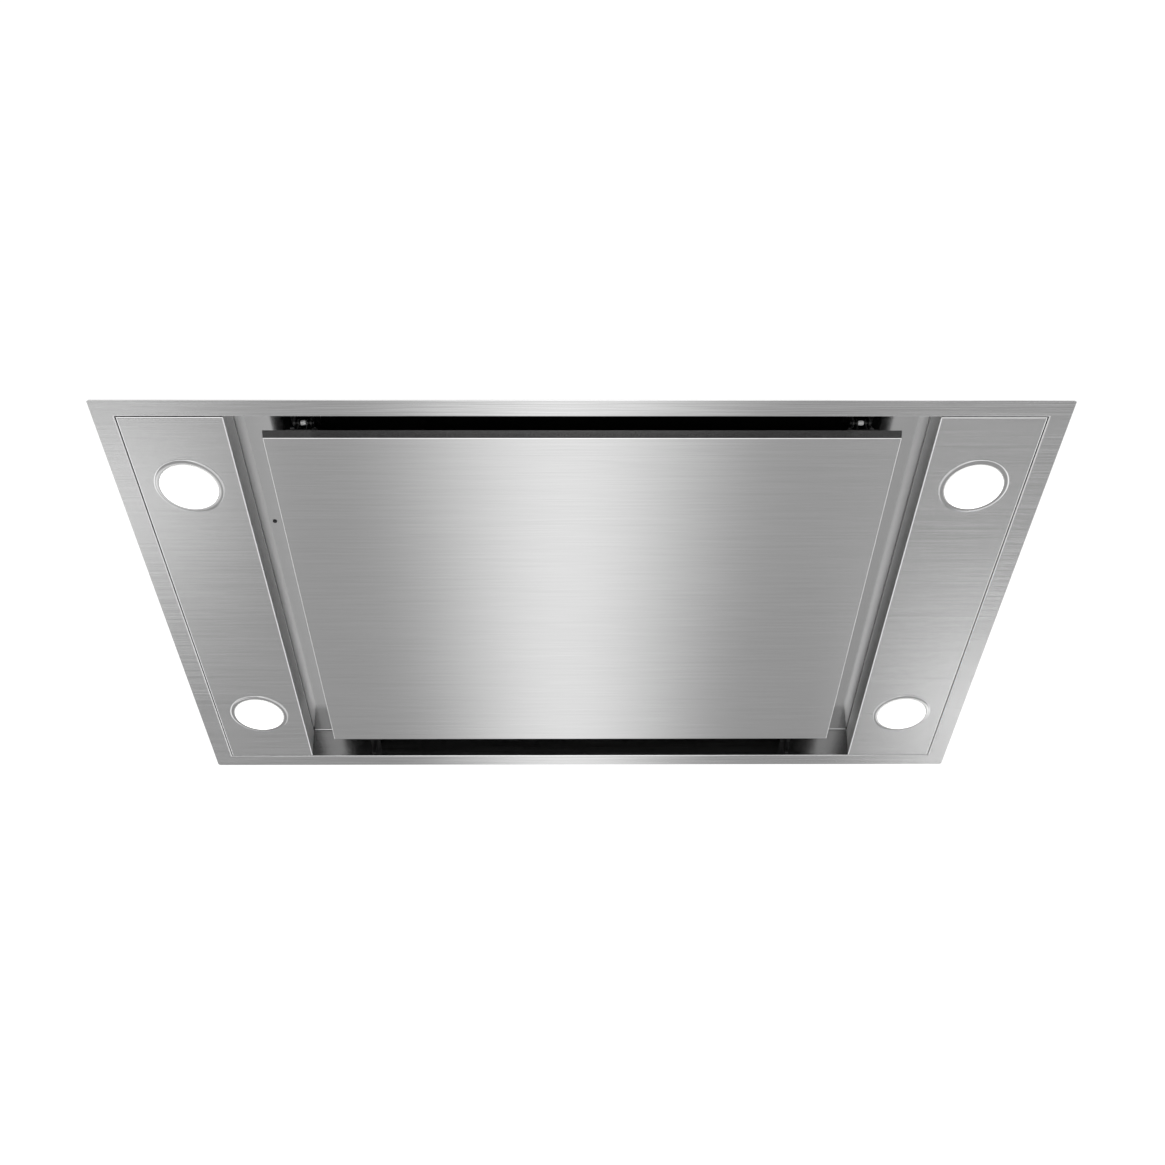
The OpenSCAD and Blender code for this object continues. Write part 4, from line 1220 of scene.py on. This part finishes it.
@dataclass(frozen=True)
class Casing:
    """A galvanised casing with riveted corner laps and beads pressed into its top.

    The beads' section is given as shares of their height, at even steps over their width.
    """

    node: str
    flange: float
    lap_foot: float
    bead_insets: tuple[float, ...]
    lap: float = 12.0 * MM
    lap_t: float = 0.6 * MM
    lap_in: float = 0.2 * MM
    lap_top: float = 1.5 * MM
    rivet_r: float = 2.2 * MM
    rivet_h: Point2 = (0.6 * MM, 0.9 * MM)
    bead_w: float = 7.0 * MM
    bead_h: float = 1.0 * MM
    bead_corner: float = 14.0 * MM
    bead_sink: float = 0.05 * MM
    section: tuple[float, ...] = (0.0, 0.8, 1.0, 0.8, 0.0)
    soft: float = 0.5 * MM

    def build(self) -> None:
        """Builds the casing."""
        maker = Maker()
        self.laps(maker)
        self.beads(maker)
        softened(self.node, GALVANISED, self.soft, maker)

    def laps(self, maker: Maker) -> None:
        """Adds the corner laps and their rivets.

        Args:
            maker: The casing's maker.
        """
        low, high = extent(self.node)
        w, d, foot = high.x - self.flange, high.y - self.flange, low.z + self.lap_foot
        (brow, crown), r = self.rivet_h, self.rivet_r
        dome = [(0.0, 0.0), (r, 0.0), (0.8 * r, brow), (0.0, crown)]
        for sx, sy in corners():
            edge = sorted((sx * (w - self.lap), sx * (w - self.lap_t)))
            face = sorted((sy * (d - self.lap_in), sy * (d + self.lap_t)))
            maker.box((edge[0], face[0], foot), (edge[1], face[1], high.z - self.lap_top))
            for k in range(3):
                z = foot + (high.z - foot) * (0.15 + 0.35 * k)
                x, y = sx * (w - self.lap / 2), sy * (d + self.lap_t)
                maker.turn(dome, at(x, y, z, (0.0, float(sy), 0.0)), 16, closed=False)

    def beads(self, maker: Maker) -> None:
        """Adds the stiffening beads pressed into the top sheet.

        Args:
            maker: The casing's maker.
        """
        high, corner = extent(self.node)[1], self.bead_corner
        steps = [(k * self.bead_w / 4, h * self.bead_h) for k, h in enumerate(self.section)]
        for inset in self.bead_insets:
            outer = Ring(high.x - inset, high.y - inset, high.z - self.bead_sink, corner)
            maker.stack([outer.grown(-step, rise, corner - step) for step, rise in steps])


@dataclass(frozen=True)
class Fixings:
    """The hangers, and the screws of the upper casing, the collar and the trim frame."""

    flange: float = 12.0 * MM
    flange_t: float = 1.0 * MM
    collar_t: float = 2.0 * MM
    collar_reach: float = 78.0 * MM
    screw_r: float = 3.8 * MM
    screw_h: float = 2.4 * MM
    soft: float = 0.6 * MM

    def build(self) -> None:
        """Builds all of it."""
        softened("hanger_brackets", ZINC, self.soft)
        self.casing_screws()
        self.trim_screws()

    def casing_screws(self) -> None:
        """Builds the screws of the upper casing's flange and of the collar."""
        low, high = extent("upper_casing")
        w, d, z = high.x - self.flange, high.y - self.flange, low.z + self.flange_t
        out, reach = self.flange / 2, self.collar_reach
        y, mid = extent("outlet_collar")[0].y + self.collar_t, middle("outlet_collar")
        places = []
        for s in (-1, 1):
            places += [at(k * 2 * w / 3, s * (d + out), z) for k in (-1, 0, 1)]
            places.append(at(s * (w + out), 0.0, z))
        for s, t in corners():
            places.append(at(s * reach, y, mid.z + t * reach, (0.0, 1.0, 0.0)))
        self.heads("casing_screw_heads", "casing_screws", places)

    def trim_screws(self) -> None:
        """Builds the screws of the trim frame's upstand."""
        trim, high, z = TrimFrame(), extent("trim_frame")[1], middle("trim_screws").z
        w, d = high.x - trim.rim_w, high.y - trim.rim_d
        places = []
        for s in (-1, 1):
            along, across = (float(s), 0.0, 0.0), (0.0, float(s), 0.0)
            places += [at(k * w * 2 / 3, s * (d + trim.sheet), z, across) for k in (-1, 0, 1)]
            places += [at(s * (w + trim.sheet), k * d / 2, z, along) for k in (-1, 1)]
        self.heads("trim_screw_heads", "trim_screws", places)

    def heads(self, name: str, node: str, places: Iterable[Matrix]) -> None:
        """Builds one piece of screw heads.

        Args:
            name: The piece's name.
            node: The CAD node that it stands for.
            places: The screws' places.
        """
        maker = Maker()
        for place in places:
            maker.screw(place, self.screw_r, self.screw_h)
        maker.piece(name, node, ZINC)


@dataclass(frozen=True)
class Outlet:
    """The duct collar and its damper flaps.

    The groove and the ribs are drawn in millimetres out from the tube and along it.
    """

    tube_r: float = 74.5 * MM
    bore_r: float = 72.5 * MM
    base: float = 2.0 * MM
    corner: float = 6.0 * MM
    mouth_in: float = 0.5 * MM
    mouth_out: Point2 = (1.0 * MM, 4.0 * MM)
    stop_r: float = 66.5 * MM
    stop_y: float = 22.9 * MM
    stop_edge: Point2 = (0.6 * MM, 0.3 * MM)
    grooves: Point2 = (44.0 * MM, 34.0 * MM)
    groove: tuple[Point2, ...] = ((0.0, 0.0), (-0.5, -0.8), (-0.5, -2.2), (0.0, -3.0))
    rib: tuple[Point2, ...] = ((-0.3, 1.8), (7.0, 1.8), (6.0, 3.2), (-0.3, 12.0))
    rib_t: float = 1.6 * MM
    ribs: int = 12
    soft: float = 0.3 * MM
    flap_soft: float = 0.25 * MM
    steps: int = 96

    def build(self) -> None:
        """Builds the collar, and softens the flaps."""
        low, high = extent("outlet_collar")
        place = at(0.0, low.y, middle("outlet_collar").z, (0.0, 1.0, 0.0))
        half = (high.x - low.x) / 2
        maker = Maker()
        outer = maker.ring(Ring(half, half, 0.0, self.corner))
        hole = maker.circle(self.bore_r, (0.0, 0.0, 0.0), self.steps)
        maker.plate([outer, hole], self.base)
        maker.move(0, place)
        maker.turn(self.tube(high.y - low.y), place, self.steps)
        maker.turn(self.seat(), place, self.steps)
        outline = [(self.tube_r + out, up) for out, up in in_mm(self.rib)]
        centred = Matrix.Translation((0.0, self.rib_t / 2, 0.0))
        upright = centred @ Matrix.Rotation(math.pi / 2, 4, "X")
        for k in range(self.ribs):
            turn = Matrix.Rotation(math.tau * (k + 0.5) / self.ribs, 4, "Z")
            maker.bar(outline, place @ turn @ upright, self.rib_t)
        maker.piece("duct_collar", "outlet_collar", BLACK_PLASTIC, bevel=self.soft)
        for side in SIDES:
            softened("damper_flap_" + side, BLACK_PLASTIC, self.flap_soft)

    def tube(self, length: float) -> list[Point2]:
        """Section of the tube, with two grooves for a clamp."""
        tube, bore, (lip, run) = self.tube_r, self.bore_r, self.mouth_out
        inside = [(bore, self.base), (bore, length - self.mouth_in)]
        mouth = [(bore + self.mouth_in, length), (tube - lip, length), (tube, length - run)]
        cuts = [(tube + out, z + up) for z in self.grooves for out, up in in_mm(self.groove)]
        return [*inside, *mouth, *cuts, (tube, self.base)]

    def seat(self) -> list[Point2]:
        """Section of the ring that the flaps close against."""
        inner, foot, top = self.stop_r, self.stop_y, self.stop_y + self.base
        bore, (out, up) = self.bore_r, self.stop_edge
        return [(inner, foot + up), (inner, top), (bore, top), (bore, foot), (inner + out, foot)]


@dataclass(frozen=True)
class Electrics:
    """Control box with its cover and gland, and the lamp driver.

    The lid's rings are given in millimetres: how far out and up from the edge of its base, and
    their corners. The nut and the cap of the gland are drawn in millimetres of radius and
    height, and a rib as half its length, half its width, and its depth in and out of a face.
    """

    wall: float = 2.0 * MM
    lid_in: float = 2.2 * MM
    lid_corner: float = 1.0 * MM
    lid: tuple[Triple, ...] = (
        (-2.2, 0.0, 1.0),
        (0.0, 0.0, 2.0),
        (0.0, 1.0, 2.0),
        (-0.6, 1.6, 2.0),
        (-9.0, 1.6, 3.0),
        (-10.0, 2.0, 3.0),
    )
    louvre: tuple[float, ...] = (32.0 * MM, 1.2 * MM, 0.4 * MM, 0.8 * MM)
    louvre_pitch: float = 8.0 * MM
    louvres: int = 9
    fin: tuple[float, ...] = (22.0 * MM, 0.9 * MM, 0.3 * MM, 0.7 * MM)
    fin_in: float = 28.0 * MM
    fin_pitch: float = 5.0 * MM
    fins: int = 5
    screw_in: float = 5.0 * MM
    screw_r: float = 2.6 * MM
    lid_screw: Point2 = (1.5 * MM, 1.6 * MM)
    driver_screw: Point2 = (2.0 * MM, 1.8 * MM)
    nut: tuple[Point2, ...] = ((5.5, 0), (9.2, 0), (10.6, 0.5), (10.6, 4.5), (9.2, 5), (5.5, 5))
    cap: tuple[Point2, ...] = (
        (5.5, 4.8), (8.7, 4.8), (8.9, 5.4), (8.9, 10.5), (7.6, 13.2), (6.2, 14.0), (5.5, 14.0)
    )
    cap_h: float = 14.0 * MM
    flute_low: Triple = (8.6 * MM, -0.6 * MM, 5.6 * MM)
    flute_high: Triple = (9.3 * MM, 0.6 * MM, 10.4 * MM)
    flutes: int = 16
    soft: float = 0.5 * MM
    lid_soft: float = 0.25 * MM
    gland_soft: float = 0.15 * MM
    driver_soft: float = 0.4 * MM

    def build(self) -> None:
        """Builds all of it."""
        softened("control_box", GREY_PLASTIC, self.soft)
        self.cover()
        self.gland()
        self.driver()

    def rib(self, maker: Maker, centre: Triple, size: Sequence[float]) -> None:
        """Adds a low rib.

        Args:
            maker: The piece's maker.
            centre: Its middle, on the face that it stands on.
            size: Its sizes.
        """
        (x, y, z), (half_w, half_d, sink, rise) = centre, size
        maker.box((x - half_w, y - half_d, z - sink), (x + half_w, y + half_d, z + rise))

    def cover(self) -> None:
        """Builds the cover with its raised field, ribs and screws."""
        low, high = extent("control_cover")
        x, w, d = middle("control_cover").x, (high.x - low.x) / 2, high.y
        base = Ring(w, d, high.z - self.wall, x=x)
        rings = [base.grown(-self.lid_in, low.z - base.z, self.lid_corner)]
        rings += [base.grown(*(part * MM for part in step)) for step in self.lid]
        maker = Maker()
        maker.stack(rings, caps="first last")
        for k in range(self.louvres):
            y = (k - self.louvres // 2) * self.louvre_pitch
            self.rib(maker, (x, y, high.z), self.louvre)
        lift, height = self.lid_screw
        for sx, sy in corners():
            place = at(x + sx * (w - self.screw_in), sy * (d - self.screw_in), base.z + lift)
            maker.screw(place, self.screw_r, height)
        maker.piece("control_lid", "control_cover", GREY_PLASTIC, bevel=self.lid_soft)

    def gland(self) -> None:
        """Builds the cable gland: a chamfered hexagon and a fluted cap."""
        low, high = extent("cable_gland")
        mid = middle("cable_gland")
        place = at(mid.x, high.y, mid.z, (0.0, -1.0, 0.0))
        maker = Maker()
        maker.turn(in_mm(self.nut), place, 6)
        maker.turn(in_mm(self.cap, (high.y - low.y) / self.cap_h), place, 48)
        for k in range(self.flutes):
            mark = maker.count()
            maker.box(self.flute_low, self.flute_high)
            maker.move(mark, place @ Matrix.Rotation(math.tau * k / self.flutes, 4, "Z"))
        maker.piece("mains_gland", "cable_gland", BLACK_PLASTIC, bevel=self.gland_soft)

    def driver(self) -> None:
        """Adds ribs and screws to the lamp driver."""
        low, high = extent("led_driver")
        x, (lift, height) = middle("led_driver").x, self.driver_screw
        maker = Maker()
        for s in (-1, 1):
            for k in range(self.fins):
                y = s * (high.y - self.fin_in - self.fin_pitch * k)
                self.rib(maker, (x, y, high.z), self.fin)
            maker.screw(at(x, s * (high.y - self.screw_in), low.z + lift), self.screw_r, height)
        softened("led_driver", WHITE_PLASTIC, self.driver_soft, maker)


# ---- studio ----


@dataclass(frozen=True)
class Glow:
    """A soft round brightening of the light table."""

    x: float
    y: float
    half_w: float
    half_d: float
    strength: float


@dataclass(frozen=True)
class Studio:
    """Ceiling board, light table, lamps and camera.

    Each lamp has a name, a place, a size and a power. The camera has a place in millimetres,
    a yaw, pitch and roll in degrees, and a focal length and sensor width in millimetres.
    """

    board_z: float = 4.3 * MM
    board_t: float = 12.5 * MM
    cut_w: float = 432.0 * MM
    cut_d: float = 268.6 * MM
    board_half: float = 9.0
    board_light: float = 1.08
    table_z: float = -1.6
    table_light: float = 0.42
    surround: float = 1.1
    strip: Glow = Glow(-0.035, 0.0, 0.62, 0.0, 0.66)
    glows: tuple[Glow, ...] = (
        Glow(-1.3, 1.29, 0.58, 0.43, 1.08),
        Glow(1.36, 2.28, 0.62, 0.43, 1.9),
    )
    sky_colour: Triple = (0.93, 0.95, 1.0)
    sky_light: float = 0.72
    lamps: tuple[tuple[str, Triple, float, float], ...] = (
        ("key", (-1.6, -1.9, 2.2), 1.6, 60.0),
        ("fill", (2.2, 1.4, 1.6), 1.8, 26.0),
    )
    lamp_aim: Triple = (0.0, 0.0, 0.12)
    camera_at: Triple = (-8.546, -975.683, -878.489)
    camera_turn: Triple = (0.571, 43.439, -0.423)
    camera_lens: Point2 = (37.755, 36.0)

    def build(self) -> None:
        """Builds all of it."""
        self.board()
        self.table()
        self.sky()
        self.camera()
        view = bpy.context.scene.view_settings
        view.view_transform, view.look = "Standard", "None"

    def glowing(self, graph: Graph, strength: Value | float) -> bpy.types.Material:
        """Finishes a graph as a surface that only gives light, and gives its material."""
        shader = graph.add("Emission", {}, {"Color": (1.0, 1.0, 1.0, 1.0), "Strength": strength})
        graph.add("OutputMaterial", {}, {"Surface": shader})
        return graph.material

    def board(self) -> None:
        """Builds the ceiling board with its cut-out: lit below, matt above."""
        maker = Maker()
        outer = maker.ring(Ring(self.board_half, self.board_half, self.board_z))
        inner = maker.ring(Ring(self.cut_w, self.cut_d, self.board_z))
        maker.plate([outer, inner], self.board_t)
        bmesh.ops.recalc_face_normals(maker.bm, faces=maker.bm.faces)
        for face in maker.bm.faces:
            face.material_index = 1 if face.normal.z < -0.5 else 0
        matt = Graph("board_plaster")
        speck = matt.noise(grey(300.0), 3.0)
        matt.finish(Base_Color=matt.blend(speck, grey(0.78), grey(0.82)), Roughness=0.9)
        lit = self.glowing(Graph("board_underside"), self.board_light)
        self.place("ceiling_board", maker.bm, (matt.material, lit))

    def table(self) -> None:
        """Builds the light table far below, brighter in a strip and in two soft pools."""
        graph = Graph("light_table")
        x, y = (graph.part(graph.place(), axis) for axis in "XY")
        across = (x - self.strip.x).math("ABSOLUTE")
        light = (1.0 - across.smooth(0.0, self.strip.half_w)) * self.strip.strength
        for glow in self.glows:
            reach = ((x - glow.x) / glow.half_w) ** 2.0 + ((y - glow.y) / glow.half_d) ** 2.0
            light = light + (1.0 - reach.math("SQRT").smooth(0.0, 1.0)) * glow.strength
        beyond = x.math("ABSOLUTE").smooth(1.75, 2.3) * self.surround
        behind = (y * -1.0).smooth(1.2, 1.7) * self.surround
        light = light + beyond.math("MAXIMUM", behind)
        strength = light + self.table_light - y.smooth(0.8, 3.2) * 0.06
        bm, floor = bmesh.new(), Matrix.Translation((0.0, 0.0, self.table_z))
        bmesh.ops.create_grid(bm, x_segments=1, y_segments=1, size=self.board_half, matrix=floor)
        self.place("light_table", bm, (self.glowing(graph, strength),))

    def place(
        self, name: str, bm: bmesh.types.BMesh, materials: Iterable[bpy.types.Material]
    ) -> None:
        """Adds what a bmesh holds to the stage, and frees it.

        Args:
            name: Its name.
            bm: The bmesh.
            materials: Its materials.
        """
        mesh = bpy.data.meshes.new(name)
        bm.to_mesh(mesh)
        bm.free()
        for material in materials:
            mesh.materials.append(material)
        made = bpy.data.objects.new(name, mesh)
        bpy.context.scene.collection.objects.link(made)

    def sky(self) -> None:
        """Sets the even light from above and two large soft lamps."""
        world = bpy.data.worlds.new("studio")
        world.use_nodes = True
        sky = world.node_tree.nodes["Background"]
        sky.inputs["Color"].default_value = (*self.sky_colour, 1.0)
        sky.inputs["Strength"].default_value = self.sky_light
        bpy.context.scene.world = world
        for name, place, size, power in self.lamps:
            lamp = bpy.data.lights.new(name, "AREA")
            lamp.energy, lamp.size = power, size
            made = bpy.data.objects.new(name, lamp)
            spot = Vector(place)
            aim = (Vector(self.lamp_aim) - spot).to_track_quat("-Z", "Y")
            made.matrix_world = Matrix.Translation(spot) @ aim.to_matrix().to_4x4()
            bpy.context.scene.collection.objects.link(made)

    def camera(self) -> None:
        """Sets the camera where the photograph was taken from: in front of and below the hood."""
        yaw, pitch, roll = (math.radians(angle) for angle in self.camera_turn)
        level = Vector((math.cos(yaw), -math.sin(yaw), 0.0))
        ahead = Vector((math.sin(yaw), math.cos(yaw), 0.0)) * math.cos(pitch) + UP * math.sin(pitch)
        above = level.cross(ahead)
        right = level * math.cos(roll) + above * math.sin(roll)
        up = above * math.cos(roll) - level * math.sin(roll)
        lens = bpy.data.cameras.new("camera")
        lens.lens, lens.sensor_width = self.camera_lens
        made = bpy.data.objects.new("camera", lens)
        turn = Matrix((right, up, -ahead)).transposed().to_4x4()
        made.matrix_world = Matrix.Translation(Vector(self.camera_at) * MM) @ turn
        bpy.context.scene.collection.objects.link(made)
        bpy.context.scene.camera = made


def dress_rest() -> None:
    """Gives the CAD nodes that are shown as they are their finishes."""
    for node, finish in DRESSED.items():
        materials = frame["nodes"][node].data.materials
        materials.clear()
        materials.append(material_of(finish))
        log.info("%s keeps its solid", node)


def main() -> None:
    """Builds the hood's pieces and the studio in order."""
    logging.basicConfig(level=logging.INFO, format="%(name)s: %(message)s")
    TrimFrame().build()
    CentrePanel().build()
    for side in SIDES:
        LampPanel(side).build()
        for end in ENDS:
            Lamp(side, end).build()
        Filter(side).build()
    RecessCeiling().build()
    PanelFittings().build()
    Casing("lower_casing", 0.0, 22.0 * MM, (6.0 * MM,)).build()
    Casing("upper_casing", 12.0 * MM, 2.0 * MM, (42.0 * MM, 88.0 * MM)).build()
    Fixings().build()
    Outlet().build()
    Electrics().build()
    dress_rest()
    Studio().build()


if __name__ == "__main__":
    main()
